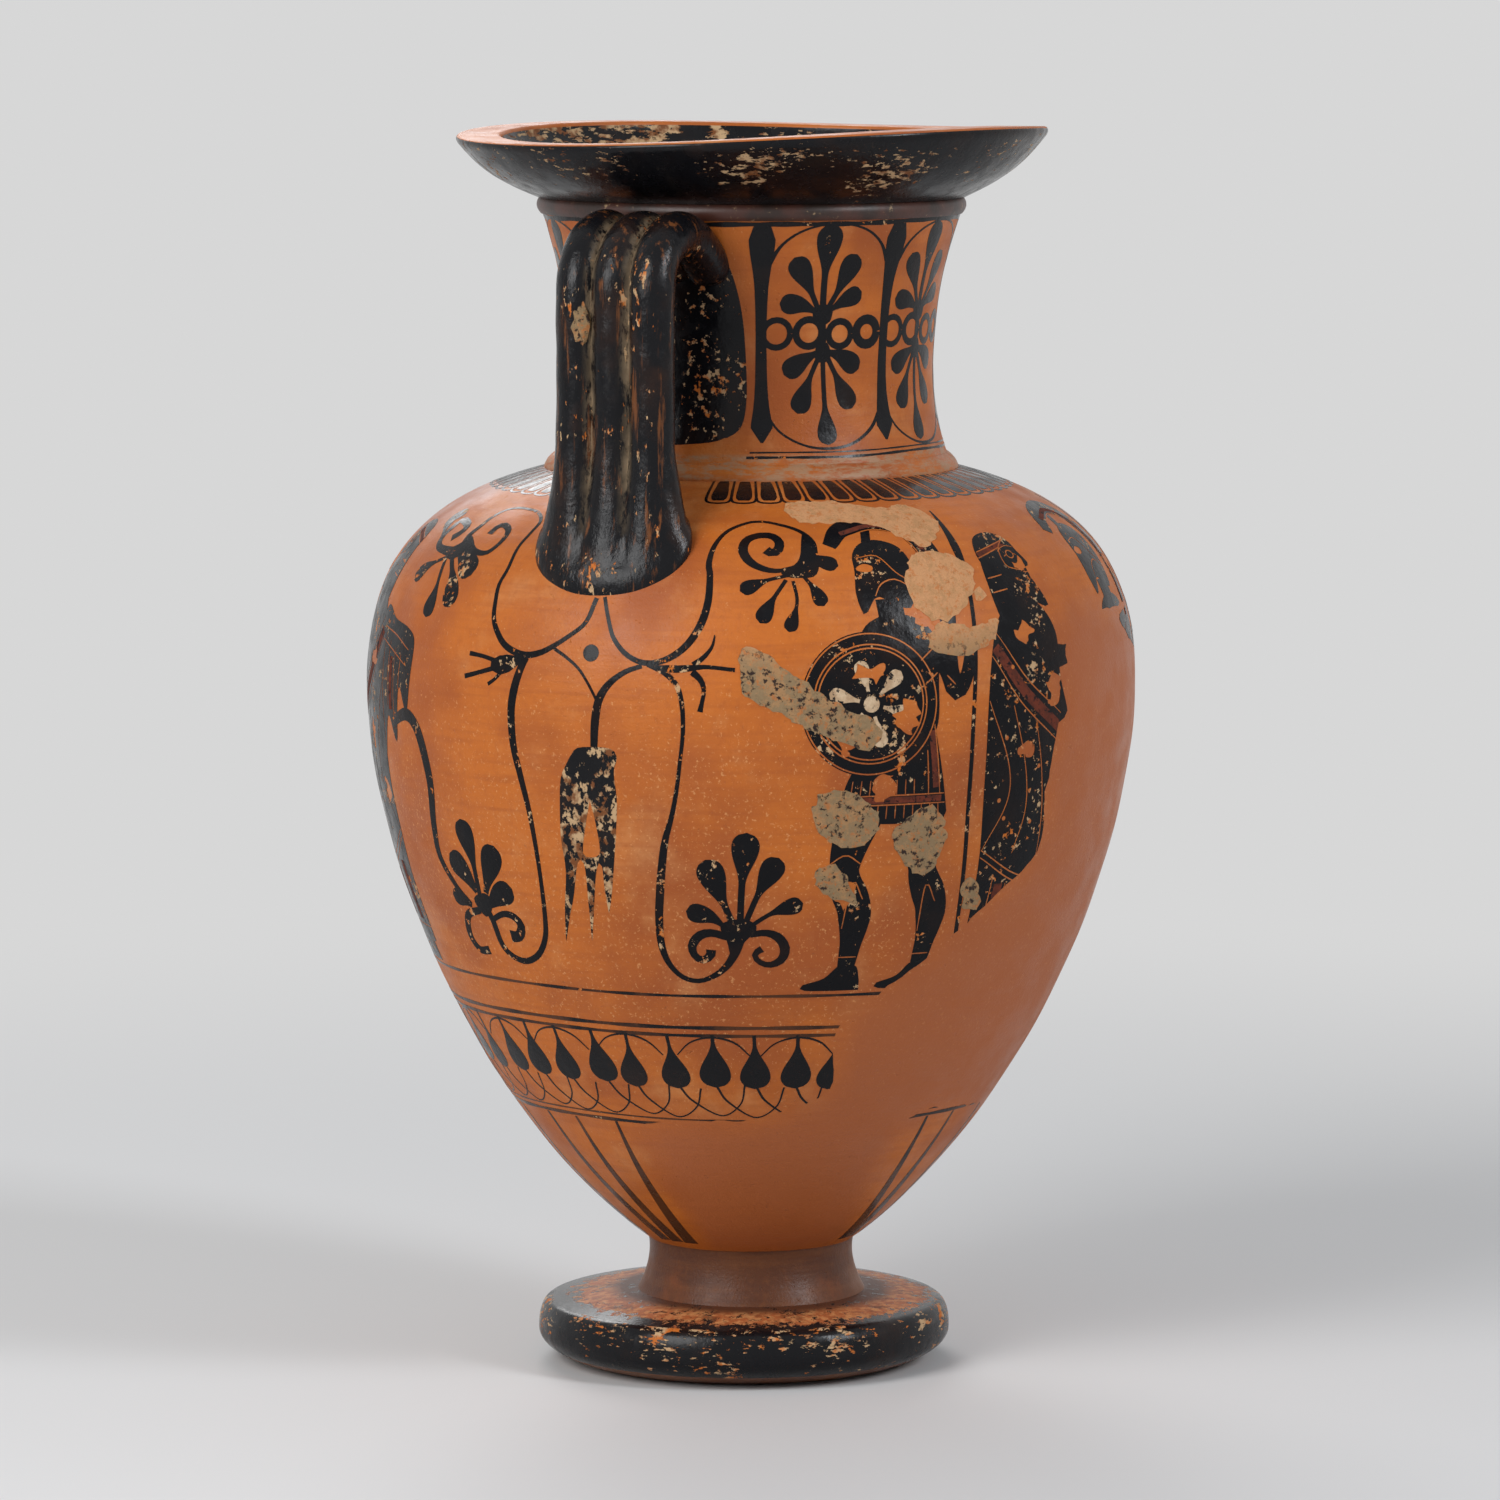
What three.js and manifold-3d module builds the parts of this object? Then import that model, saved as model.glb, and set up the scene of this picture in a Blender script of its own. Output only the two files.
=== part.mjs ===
// Neck amphora: a thrown and fired clay jar with two handles, each of three rolls of clay.
// Millimetres, +Z up. The origin is the centre of the foot's standing face, the handles stand at
// +X (right) and -X (left), and the sides between them face -Y (front) and +Y (back).
import * as THREE from 'three';
import { mergeVertices } from 'three/addons/utils/BufferGeometryUtils.js';
import Module from 'manifold-3d';

const wasm = await Module();
wasm.setup();

// How finely the pieces are faceted
const turnSegments = 48;
const curveSteps = 8;
const roundingSteps = 3;
const rollSteps = 20;
const rollArcSteps = 3;
const padSegments = 24;
const padRings = 12;

// Luting gap where one piece is cut to fit another, and the overrun of every cut
const lutingGap = 0.3;
const overrun = 12;

// Wall of the thrown vessel
const wall = 5;

// Foot disc, hollow underneath
const discHeight = 22.5;
const discRadius = 67.2;
const discWidestHeight = 10;
const discTopRadius = 62.5;
const discTopHeight = 19.6;
const discEdgeShares = { across: 1, up: 0.35 };
const discRimShares = { across: 0, up: 0.97 };
const contactRadius = 51.5;
const contactWidth = 9;
const hollowRadius = 22;
const seatMargin = 3.5;

// The disc was set on a little off the centre of the jar
const discShift = { x: -1, y: 2.3 };

// Stem between the disc and the bowl
const stemHeight = 17.5;
const stemFootRadius = 37.2;
const stemTopRadius = 33.6;
const stemLowShares = { across: 0.8, up: 0.3 };
const stemHighShares = { across: 1.35, up: 0.66 };
const stemHollowHeight = 10.5;
const stemHollowShares = { across: 0.3, up: 1 };

// Bowl: the lower half of the body, closed by its floor
const bowlHeight = 182;
const bellyRadius = 124.6;
const bowlLowShares = { across: 0.582, up: 0.214 };
const bowlHighShares = { across: 1, up: 0.684 };
const floorThickness = 6;
const floorRadius = 20;

// Shoulder: the upper half of the body
const shoulderHeight = 69.5;
const shoulderLip = 4;
const shoulderLowShares = { across: 0, up: 0.594 };
const shoulderHighShares = { across: 0.332, up: 0.863 };
const throatThickness = 4;

// Collar that fillets the joint of the neck and the shoulder
const collarHeight = 5;
const collarSpread = 3.8;
const collarTopSpread = 0.8;
const collarEdgeHeight = 1;
const collarBulgeShares = { across: 0.4, up: 0.62 };

// Neck
const neckHeight = 77;
const neckBaseRadius = 63;
const neckFlare = 4.4;
const waistInset = 4.7;
const neckLowShares = { across: 0.966, up: 0.227 };
const neckHighShares = { across: 0.978, up: 0.617 };

// Ring under the mouth
const ringHeight = 5.2;
const ringSpread = 1.9;
const ringBulge = 1;

// Mouth, with its flat lip
const mouthHeight = 21.3;
const mouthBaseSpread = 1.6;
const mouthFlare = 28.4;
const mouthLowShares = { across: 0.62, up: 0.371 };
const mouthHighShares = { across: 0.794, up: 0.657 };
const lipWidth = 15;
const lipHeight = 3.5;
const lipFlare = 1.6;
const lipRounding = 1.2;
const mouthBoreHighShares = { across: 0.12, up: 0.36 };
const mouthBoreLowShares = { across: 0.85, up: 0.68 };

// Handle: rolls side by side, that climb from the neck, bend over and drop to the shoulder
const rollCount = 3;
const rollDiameter = 14.5;
const rollPitch = 12.5;
const crestDrop = 3.5;
const handleClimb = 19;
const bellyInset = 22.6;
const climbLowShares = { across: 0.4, up: 0.6 };
const climbHighShares = { across: 0.7, up: 1 };
const bendSpanShare = 0.435;
const bendRoundShare = 0.5523;

// Root: the pad of clay that spreads the feet of the rolls over the shoulder
const rootRise = 10.9;
const rootOffset = 3.5;
const rootWidth = 56;
const rootLength = 38;
const rootDepth = 28;
const rootSink = 4;

// Heights of the joints between the pieces
const stemBase = discHeight;
const bowlBase = stemBase + stemHeight;
const bellyLevel = bowlBase + bowlHeight;
const collarBase = bellyLevel + shoulderHeight;
const neckBase = collarBase + collarHeight;
const ringBase = neckBase + neckHeight;
const mouthBase = ringBase + ringHeight;
const lipLevel = mouthBase + mouthHeight;

// Radii that follow the neck's two ends
const shoulderTopRadius = neckBaseRadius + shoulderLip;
const collarRadius = neckBaseRadius + collarSpread;
const collarTopRadius = neckBaseRadius + collarTopSpread;
const neckWaistRadius = neckBaseRadius - waistInset;
const neckTopRadius = neckBaseRadius + neckFlare;
const ringRadius = neckTopRadius + ringSpread;
const mouthBaseRadius = neckTopRadius + mouthBaseSpread;
const mouthRadius = neckTopRadius + mouthFlare;

// Places of the handle: its crest below the ring under the mouth, and its drop inside the widest belly
const handleCrestHeight = ringBase - crestDrop;
const handleStartHeight = handleCrestHeight - handleClimb;
const handleReach = bellyRadius - bellyInset;
const handleBend = (handleReach - neckWaistRadius) * bendSpanShare;
const handleCrestReach = handleReach - handleBend;
const rootReach = handleReach + rootOffset;

// Bores that run on from one piece into the next
const throatRadius = neckBaseRadius - wall;
const neckTopBore = neckTopRadius - wall;

// Outlines are points of radius and height, and each outer face runs from its lower joint upwards.
function at(radius, height) {
  return new THREE.Vector2(radius, height);
}

// The place between two points, at its own share of the way in radius and in height
function between(from, to, shares) {
  return at(
    THREE.MathUtils.lerp(from.x, to.x, shares.across),
    THREE.MathUtils.lerp(from.y, to.y, shares.up),
  );
}

function sweep(from, to, lowShares, highShares) {
  const low = between(from, to, lowShares);
  const high = between(from, to, highShares);
  return new THREE.CubicBezierCurve(from, low, high, to).getPoints(curveSteps);
}

function rounding(from, corner, to) {
  return new THREE.QuadraticBezierCurve(from, corner, to).getPoints(roundingSteps);
}

// The outline moved square to itself: inwards for a positive distance, outwards for a negative one
function offset(outline, distance) {
  return outline.map((here, i) => {
    const before = outline[Math.max(i - 1, 0)];
    const after = outline[Math.min(i + 1, outline.length - 1)];
    const along = after.clone().sub(before).normalize();
    return at(here.x - along.y * distance, here.y + along.x * distance);
  });
}

function inside(outline, distance) {
  return offset(outline, distance).slice(1, -1).reverse();
}

// A piece turned on the wheel. Its outline starts and ends on the axis.
function turned(outline) {
  return new THREE.LatheGeometry(outline, turnSegments).rotateX(Math.PI / 2);
}

// A turned piece that is open along the axis. Its outline closes on itself.
function turnedRing(outline) {
  return turned([...outline, outline[0]]);
}

function bowlFace() {
  return sweep(at(stemTopRadius, bowlBase), at(bellyRadius, bellyLevel), bowlLowShares, bowlHighShares);
}

function shoulderFace() {
  return sweep(
    at(bellyRadius, bellyLevel), at(shoulderTopRadius, collarBase), shoulderLowShares, shoulderHighShares,
  );
}

function neckFace() {
  const bottom = at(neckBaseRadius, neckBase);
  const top = at(neckTopRadius, ringBase);
  const low = at(neckWaistRadius * neckLowShares.across, neckBase + neckHeight * neckLowShares.up);
  const high = at(neckWaistRadius * neckHighShares.across, neckBase + neckHeight * neckHighShares.up);
  return new THREE.CubicBezierCurve(bottom, low, high, top).getPoints(curveSteps);
}

function footDisc() {
  const contact = at(contactRadius, 0);
  const widest = at(discRadius, discWidestHeight);
  const top = at(discTopRadius, discTopHeight);
  return turnedRing([
    at(contactRadius - contactWidth, 0),
    ...rounding(contact, between(contact, widest, discEdgeShares), widest),
    ...rounding(widest, between(widest, top, discRimShares), top).slice(1),
    at(stemFootRadius + seatMargin, discHeight),
    at(hollowRadius, discHeight),
  ]);
}

function footStem() {
  const hollowEdge = at(hollowRadius, stemBase);
  const hollowTop = at(0, stemBase + stemHollowHeight);
  return turned([
    ...rounding(hollowTop, between(hollowTop, hollowEdge, stemHollowShares), hollowEdge),
    ...sweep(at(stemFootRadius, stemBase), at(stemTopRadius, bowlBase), stemLowShares, stemHighShares),
    at(0, bowlBase),
  ]);
}

function bodyBowl() {
  const floorLevel = bowlBase + floorThickness;
  return turned([
    at(0, bowlBase),
    ...bowlFace(),
    at(bellyRadius - wall, bellyLevel),
    ...inside(bowlFace(), wall),
    at(floorRadius, floorLevel),
    at(0, floorLevel),
  ]);
}

function bodyShoulder() {
  return turnedRing([
    at(bellyRadius - wall, bellyLevel),
    ...shoulderFace(),
    at(throatRadius, collarBase),
    at(throatRadius, collarBase - throatThickness),
    ...inside(shoulderFace(), wall),
  ]);
}

function shoulderCollar() {
  const edge = at(collarRadius, collarBase + collarEdgeHeight);
  const top = at(collarTopRadius, neckBase);
  return turnedRing([
    at(throatRadius, collarBase),
    at(collarRadius, collarBase),
    edge,
    between(edge, top, collarBulgeShares),
    top,
    at(throatRadius, neckBase),
  ]);
}

function neckTube() {
  return turnedRing([
    at(throatRadius, neckBase),
    ...neckFace(),
    at(neckTopBore, ringBase),
    ...inside(neckFace(), wall),
  ]);
}

function neckRing() {
  return turnedRing([
    at(neckTopBore, ringBase),
    at(ringRadius - ringBulge, ringBase),
    at(ringRadius, ringBase + ringHeight / 2),
    at(ringRadius - ringBulge, mouthBase),
    at(neckTopBore, mouthBase),
  ]);
}

function mouthPiece() {
  const lipOuter = at(mouthRadius, lipLevel);
  const lipInner = at(mouthRadius - lipWidth, lipLevel);
  const flare = at(mouthRadius - lipFlare, lipLevel - lipHeight);
  const outerEdge = at(lipOuter.x, lipLevel - lipRounding);
  const innerEdge = at(lipInner.x, lipLevel - lipRounding);
  return turnedRing([
    at(neckTopBore, mouthBase),
    ...sweep(at(mouthBaseRadius, mouthBase), flare, mouthLowShares, mouthHighShares),
    ...rounding(outerEdge, lipOuter, at(lipOuter.x - lipRounding, lipLevel)),
    ...rounding(at(lipInner.x + lipRounding, lipLevel), lipInner, innerEdge),
    ...sweep(innerEdge, at(neckTopBore, mouthBase), mouthBoreHighShares, mouthBoreLowShares).slice(1, -1),
  ]);
}

// Booleans: a mesh as a solid, and a solid as a mesh again
function solid(geometry) {
  const bare = geometry.clone();
  bare.deleteAttribute('normal');
  bare.deleteAttribute('uv');
  const merged = mergeVertices(bare);
  return new wasm.Manifold(new wasm.Mesh({
    numProp: 3,
    vertProperties: merged.attributes.position.array,
    triVerts: new Uint32Array(merged.index.array),
  }));
}

function meshed(body) {
  const made = body.getMesh();
  const geometry = new THREE.BufferGeometry();
  geometry.setAttribute('position', new THREE.BufferAttribute(made.vertProperties, made.numProp));
  geometry.setIndex(new THREE.BufferAttribute(made.triVerts, 1));
  geometry.computeVertexNormals();
  return geometry;
}

// What the handles are cut to fit: the neck with its ring, and the shoulder, each a luting gap larger
function neckSpace() {
  return solid(turned([
    at(0, neckBase),
    ...offset(neckFace(), -lutingGap).slice(0, -1),
    at(ringRadius + lutingGap, ringBase - lutingGap),
    at(ringRadius + lutingGap, mouthBase),
    at(0, mouthBase),
  ]));
}

function shoulderSpace() {
  return solid(turned([
    at(0, bellyLevel),
    ...offset(shoulderFace(), -lutingGap),
    at(0, collarBase + lutingGap),
  ]));
}

// Where the shoulder's face passes a radius, and how steeply it falls there
function shoulderAt(radius) {
  const face = shoulderFace();
  const i = face.findIndex((place) => place.x < radius);
  const from = face[i - 1];
  const to = face[i];
  const share = (radius - from.x) / (to.x - from.x);
  return {
    height: THREE.MathUtils.lerp(from.y, to.y, share),
    slope: Math.atan2(to.y - from.y, from.x - to.x),
  };
}

function rootTop() {
  return shoulderAt(rootReach).height + rootRise;
}

// Centreline of a roll in the plane at its lane's distance from the middle of the handle
function rollPath(lane) {
  const start = at(neckWaistRadius - rollDiameter / 2, handleStartHeight);
  const crest = at(handleCrestReach, handleCrestHeight);
  const drop = at(handleReach, handleCrestHeight - handleBend);
  const inLane = (place) => new THREE.Vector3(place.x, lane * rollPitch, place.y);
  const path = new THREE.CurvePath();
  path.add(new THREE.CubicBezierCurve3(
    inLane(start),
    inLane(between(start, crest, climbLowShares)),
    inLane(between(start, crest, climbHighShares)),
    inLane(crest),
  ));
  path.add(new THREE.CubicBezierCurve3(
    inLane(crest),
    inLane(at(crest.x + handleBend * bendRoundShare, crest.y)),
    inLane(at(drop.x, drop.y + handleBend * bendRoundShare)),
    inLane(drop),
  ));
  path.add(new THREE.LineCurve3(inLane(drop), inLane(at(handleReach, rootTop()))));
  return path;
}

// Round section of a roll, pressed flat on each side where it meets another roll.
// The section's +x side is the roll's -Y side.
function rollSection(pressedLow, pressedHigh) {
  const press = Math.acos((rollPitch - lutingGap) / rollDiameter);
  const low = pressedLow ? press : 0;
  const high = pressedHigh ? press : 0;
  const section = new THREE.Shape();
  section.absarc(0, 0, rollDiameter / 2, low, Math.PI - high);
  section.absarc(0, 0, rollDiameter / 2, Math.PI + high, 2 * Math.PI - low);
  return section;
}

function handleRoll(lane) {
  const outermost = (rollCount - 1) / 2;
  const swept = new THREE.ExtrudeGeometry(rollSection(lane > -outermost, lane < outermost), {
    steps: rollSteps,
    curveSegments: rollArcSteps,
    extrudePath: rollPath(lane),
  });
  return meshed(solid(swept).subtract(neckSpace()));
}

function rootPad() {
  const seat = shoulderAt(rootReach);
  const pad = new THREE.SphereGeometry(1, padSegments, padRings);
  pad.scale(rootLength / 2, rootWidth / 2, rootDepth / 2);
  pad.rotateY(seat.slope);
  const sink = at(Math.sin(seat.slope), Math.cos(seat.slope)).multiplyScalar(rootSink);
  pad.translate(rootReach - sink.x, 0, seat.height - sink.y);
  return solid(pad);
}

// The end of a roll, carried on down through the pad
function rootStub(lane) {
  const section = new THREE.Shape().absarc(0, 0, rollDiameter / 2, 0, 2 * Math.PI);
  const stub = new THREE.ExtrudeGeometry(section, {
    depth: rootDepth,
    curveSegments: 2 * rollArcSteps,
    bevelEnabled: false,
  });
  stub.translate(handleReach, lane * rollPitch, rootTop() - rootDepth);
  return solid(stub);
}

function rollLanes() {
  return Array.from({ length: rollCount }, (unused, i) => i - (rollCount - 1) / 2);
}

function handleRoot() {
  const above = new THREE.BoxGeometry(rootWidth + overrun, rootWidth + overrun, rootDepth);
  above.translate(rootReach, 0, rootTop() + rootDepth / 2);
  const joined = rollLanes().reduce((root, lane) => root.add(rootStub(lane)), rootPad());
  return meshed(joined.subtract(shoulderSpace()).subtract(solid(above)));
}

// Finishes
function orangeClay() {
  return new THREE.MeshStandardMaterial({ color: 0xc2703a, roughness: 0.55, metalness: 0 });
}

function blackGloss() {
  return new THREE.MeshStandardMaterial({ color: 0x1b1a1c, roughness: 0.3, metalness: 0 });
}

function brownWash() {
  return new THREE.MeshStandardMaterial({ color: 0x6b3220, roughness: 0.5, metalness: 0 });
}

function bareClay() {
  return new THREE.MeshStandardMaterial({ color: 0x9a5236, roughness: 0.6, metalness: 0 });
}

const amphora = new THREE.Group();

function place(name, geometry, material, turn = 0) {
  const piece = new THREE.Mesh(geometry, material);
  piece.name = name;
  piece.rotation.z = turn;
  amphora.add(piece);
  return piece;
}

place('foot_disc', footDisc(), blackGloss()).position.set(discShift.x, discShift.y, 0);
place('foot_stem', footStem(), bareClay());
place('body_bowl', bodyBowl(), orangeClay());
place('body_shoulder', bodyShoulder(), orangeClay());
place('shoulder_collar', shoulderCollar(), orangeClay());
place('neck', neckTube(), orangeClay());
place('neck_ring', neckRing(), brownWash());
place('mouth', mouthPiece(), blackGloss());

// The left handle is the right one turned half round, so its rolls stand in the other order.
const rollNames = ['front', 'middle', 'back'];
for (const [side, turn, names] of [['right', 0, rollNames], ['left', Math.PI, rollNames.toReversed()]]) {
  rollLanes().forEach((lane, i) => {
    place(`handle_${side}_roll_${names[i]}`, handleRoll(lane), blackGloss(), turn);
  });
  place(`handle_${side}_root`, handleRoot(), blackGloss(), turn);
}

export default amphora;
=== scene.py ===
import math

import bpy
import numpy as np
from mathutils import Euler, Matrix, Vector, geometry, noise


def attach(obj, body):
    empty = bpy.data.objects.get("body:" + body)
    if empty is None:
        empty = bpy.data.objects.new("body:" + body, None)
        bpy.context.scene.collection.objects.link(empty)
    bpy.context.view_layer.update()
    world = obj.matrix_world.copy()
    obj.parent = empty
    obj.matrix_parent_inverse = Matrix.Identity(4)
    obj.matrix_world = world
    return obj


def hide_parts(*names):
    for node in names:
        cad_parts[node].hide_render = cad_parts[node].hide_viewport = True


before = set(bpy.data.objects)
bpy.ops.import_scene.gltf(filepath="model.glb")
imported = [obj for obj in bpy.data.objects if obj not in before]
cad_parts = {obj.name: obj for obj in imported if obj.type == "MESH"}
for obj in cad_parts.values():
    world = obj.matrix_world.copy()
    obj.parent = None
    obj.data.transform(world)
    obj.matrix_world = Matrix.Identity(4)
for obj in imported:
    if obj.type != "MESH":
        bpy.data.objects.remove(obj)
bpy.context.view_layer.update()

MM = 0.001
TAU = 2 * math.pi

# The camera, and the 1500 pixel square view that the pixel places below are in
CAMERA_PLACE = (-2.2594, -1.0297, 0.4746)
CAMERA_TILT = 83.67
CAMERA_TURN = -65.4888
CAMERA_LENS = 184.6
CAMERA_SENSOR = 36.0
VIEW_PIXELS = 1500
CAMERA_SIDE = math.radians(204.5)

# Where a pixel of the view meets the jar is searched this share before the axis, in this many halvings
SEARCH_SHARE = 0.055
SEARCH_STEPS = 40

# Heights of the joints above the table, in mm as all the sizes below
STEM_BASE = 22.5
BOWL_BASE = 40.0
BELLY = 222.0
COLLAR_BASE = 291.5
NECK_BASE = 296.5
RING_BASE = 373.5
MOUTH_BASE = 378.7
LIP = 400.0
FLOOR = 46.0

# Radii at the joints, the wall and the bores
STEM_RADIUS = 37.2
BOWL_RADIUS = 33.6
BELLY_RADIUS = 124.6
SHOULDER_RADIUS = 67.0
COLLAR_RADIUS = 66.8
NECK_RADIUS = 63.0
NECK_TOP_RADIUS = 67.4
RING_RADIUS = 68.0
RING_TOP_RADIUS = 68.4
MOUTH_RADIUS = 69.0
WALL = 5.0
THROAT = 58.0
THROAT_EDGE = 4.0
NECK_BORE = 62.4
FLOOR_RADIUS = 20.0
STEM_HOLLOW = 22.0

# How finely the pieces are made
SEGMENTS = 256
OUTER_STEP = 1.8
INNER_STEP = 5.0
COLLAR_STEP = 0.8
BORE_STEP = 2.5
FOOT_STEP = 1.5
STEM_STEP = 1.2
CLOSE_ROW = 0.25

# The disc of the foot stands a little off the axis
DISC_SHIFT = (-1.0, 2.3)

# Turns of the painted parts round the axis, in degrees: the two handles and the two sides
LEFT_HANDLE = 180.0
RIGHT_HANDLE = 0.0
FRONT_SIDE = 270.0
BACK_SIDE = 90.0

# How far paint stands over the clay, and how deep it is set in
PAINT_LIFT = 0.07
RED_LIFT = 0.11
WHITE_LIFT = 0.13
FILL_LIFT = 0.14
PAINT_DEPTH = 0.2
BRUSH_LANE = 3.0
INNER_GRID = 3.0


# Outlines: places of (radius, height)

def cubic(start, low, high, end):
    t = np.linspace(0, 1, 65)[:, None]
    start, low, high, end = (np.array(place, float) for place in (start, low, high, end))
    return (1 - t) ** 3 * start + 3 * t * (1 - t) ** 2 * low + 3 * t * t * (1 - t) * high + t ** 3 * end


def swept(start, end, low_shares, high_shares):
    """A curve whose inner points stand at shares of the way from one end to the other."""
    start = np.array(start, float)
    end = np.array(end, float)
    return cubic(start, start + (end - start) * low_shares, start + (end - start) * high_shares, end)


def rounded(start, corner, end, steps=8):
    t = np.linspace(0, 1, steps + 1)[:, None]
    start, corner, end = (np.array(place, float) for place in (start, corner, end))
    return (1 - t) ** 2 * start + 2 * t * (1 - t) * corner + t * t * end


def lengths(line):
    """How far along a line each of its places lies."""
    return np.concatenate([[0.0], np.cumsum(np.linalg.norm(np.diff(line, axis=0), axis=1))])


def along(line, marks):
    """The places at these distances along a line."""
    known = lengths(line)
    return np.stack([np.interp(marks, known, line[:, k]) for k in range(line.shape[1])], 1)


def respaced(line, step):
    """The line in even steps, with a close row at both ends that keeps the shading true there."""
    line = np.array(line, float)
    total = lengths(line)[-1]
    marks = np.linspace(0, total, max(2, round(total / step)) + 1)
    return along(line, np.unique(np.concatenate([marks, [CLOSE_ROW, total - CLOSE_ROW]])))


def inset(line, distance):
    """The line moved square to itself, from the outer face into the wall."""
    heading = np.gradient(line, axis=0)
    heading /= np.linalg.norm(heading, axis=1)[:, None]
    return line + distance * np.stack([-heading[:, 1], heading[:, 0]], 1)


STEM_FACE = swept((STEM_RADIUS, STEM_BASE), (BOWL_RADIUS, BOWL_BASE), (0.8, 0.3), (1.35, 0.66))
BOWL_FACE = swept((BOWL_RADIUS, BOWL_BASE), (BELLY_RADIUS, BELLY), (0.582, 0.214), (1, 0.684))
SHOULDER_FACE = swept((BELLY_RADIUS, BELLY), (SHOULDER_RADIUS, COLLAR_BASE), (0, 0.594), (0.332, 0.863))
COLLAR_FACE = np.array([
    (COLLAR_RADIUS, COLLAR_BASE), (COLLAR_RADIUS, 292.3), (65.9, 294.1), (64.4, 295.7),
    (63.3, NECK_BASE)])
NECK_FACE = cubic((NECK_RADIUS, NECK_BASE), (56.3, 314.0), (57.0, 344.0), (NECK_TOP_RADIUS, RING_BASE))
MOUTH_FACE = swept((MOUTH_RADIUS, MOUTH_BASE), (94.2, 396.5), (0.62, 0.371), (0.794, 0.657))
MOUTH_BORE = swept((80.8, 398.8), (NECK_BORE, MOUTH_BASE), (0.12, 0.36), (0.85, 0.68))


# The thrown clay is a little out of true

def out_of_true(turn, height):
    throwing = 0.10 * np.sin(height / 5.1 + 1.5 * np.sin(turn))
    return throwing + 0.16 * np.sin(2 * turn + height / 31) + 0.12 * np.sin(5 * turn - height / 23)


def rim_sway(turn, height):
    """The mouth warped as it dried. Its rim dips towards the left handle's far side."""
    seen = turn - CAMERA_SIDE
    share = np.clip((height - MOUTH_BASE) / (LIP - MOUTH_BASE), 0, 1)
    return share * (1.2 * np.sin(seen) + 1.6 * np.sin(2 * seen))


def placed(turn, radius, height, shift=(0.0, 0.0)):
    """Points in metres at turns round the axis, radii and heights."""
    turn, radius, height = np.broadcast_arrays(turn, radius, height)
    radius = radius + out_of_true(turn, height) * np.clip(radius / 30, 0, 1)
    x = radius * np.cos(turn) + shift[0]
    y = radius * np.sin(turn) + shift[1]
    return MM * np.stack([x, y, height + rim_sway(turn, height)], -1)


# Finishes, built from nodes in object coordinates

CLAY_ORANGE = (0.50, 0.135, 0.019, 1)
CLAY_RED = (0.34, 0.083, 0.018, 1)
CLAY_PALE = (0.60, 0.27, 0.10, 1)
CLAY_PLAIN = (0.375, 0.105, 0.031, 1)
CLAY_STEM = (0.085, 0.028, 0.012, 1)
CLAY_RUBBED = (0.17, 0.058, 0.018, 1)
BEIGE = (0.50, 0.33, 0.18, 1)
SLIP_BLACK = (0.0052, 0.0052, 0.0065, 1)
SLIP_BROWN = (0.026, 0.012, 0.008, 1)
SLIP_THIN = (0.075, 0.027, 0.011, 1)
SLIP_RED = (0.065, 0.021, 0.013, 1)
GREY_CRUST = (0.27, 0.195, 0.12, 1)
NECK_CRUST = (0.37, 0.22, 0.125, 1)


class Nodes:
    """A tree of nodes under construction."""

    def __init__(self, owner):
        owner.use_nodes = True
        self.tree = owner.node_tree

    def feed(self, socket, value):
        if isinstance(value, bpy.types.NodeSocket):
            self.tree.links.new(value, socket)
        else:
            socket.default_value = value

    def node(self, kind, inputs, **settings):
        made = self.tree.nodes.new(kind)
        for name, value in settings.items():
            setattr(made, name, value)
        for name, value in inputs.items():
            self.feed(made.inputs[name], value)
        return made

    def ramp(self, value, low, high, least=0.0, most=1.0):
        return self.node("ShaderNodeMapRange", {
            "Value": value, "From Min": low, "From Max": high, "To Min": least, "To Max": most,
        }, interpolation_type="SMOOTHSTEP").outputs[0]

    def sum(self, first, second, operation="ADD"):
        return self.node("ShaderNodeMath", {0: first, 1: second}, operation=operation).outputs[0]

    def times(self, first, second):
        return self.sum(first, second, "MULTIPLY")

    def less(self, first, second):
        return self.sum(first, second, "SUBTRACT")

    def mix(self, share, first, second):
        return self.node("ShaderNodeMix", {0: share, 6: first, 7: second}, data_type="RGBA").outputs[2]

    def backdrop_seen(self):
        """1 for the rays that see the plain backdrop: those of the camera, of gloss and of glass."""
        rays = self.node("ShaderNodeLightPath", {}).outputs
        gloss = self.sum(rays["Is Camera Ray"], rays["Is Glossy Ray"], "MAXIMUM")
        return self.sum(gloss, rays["Is Transmission Ray"], "MAXIMUM")


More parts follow.
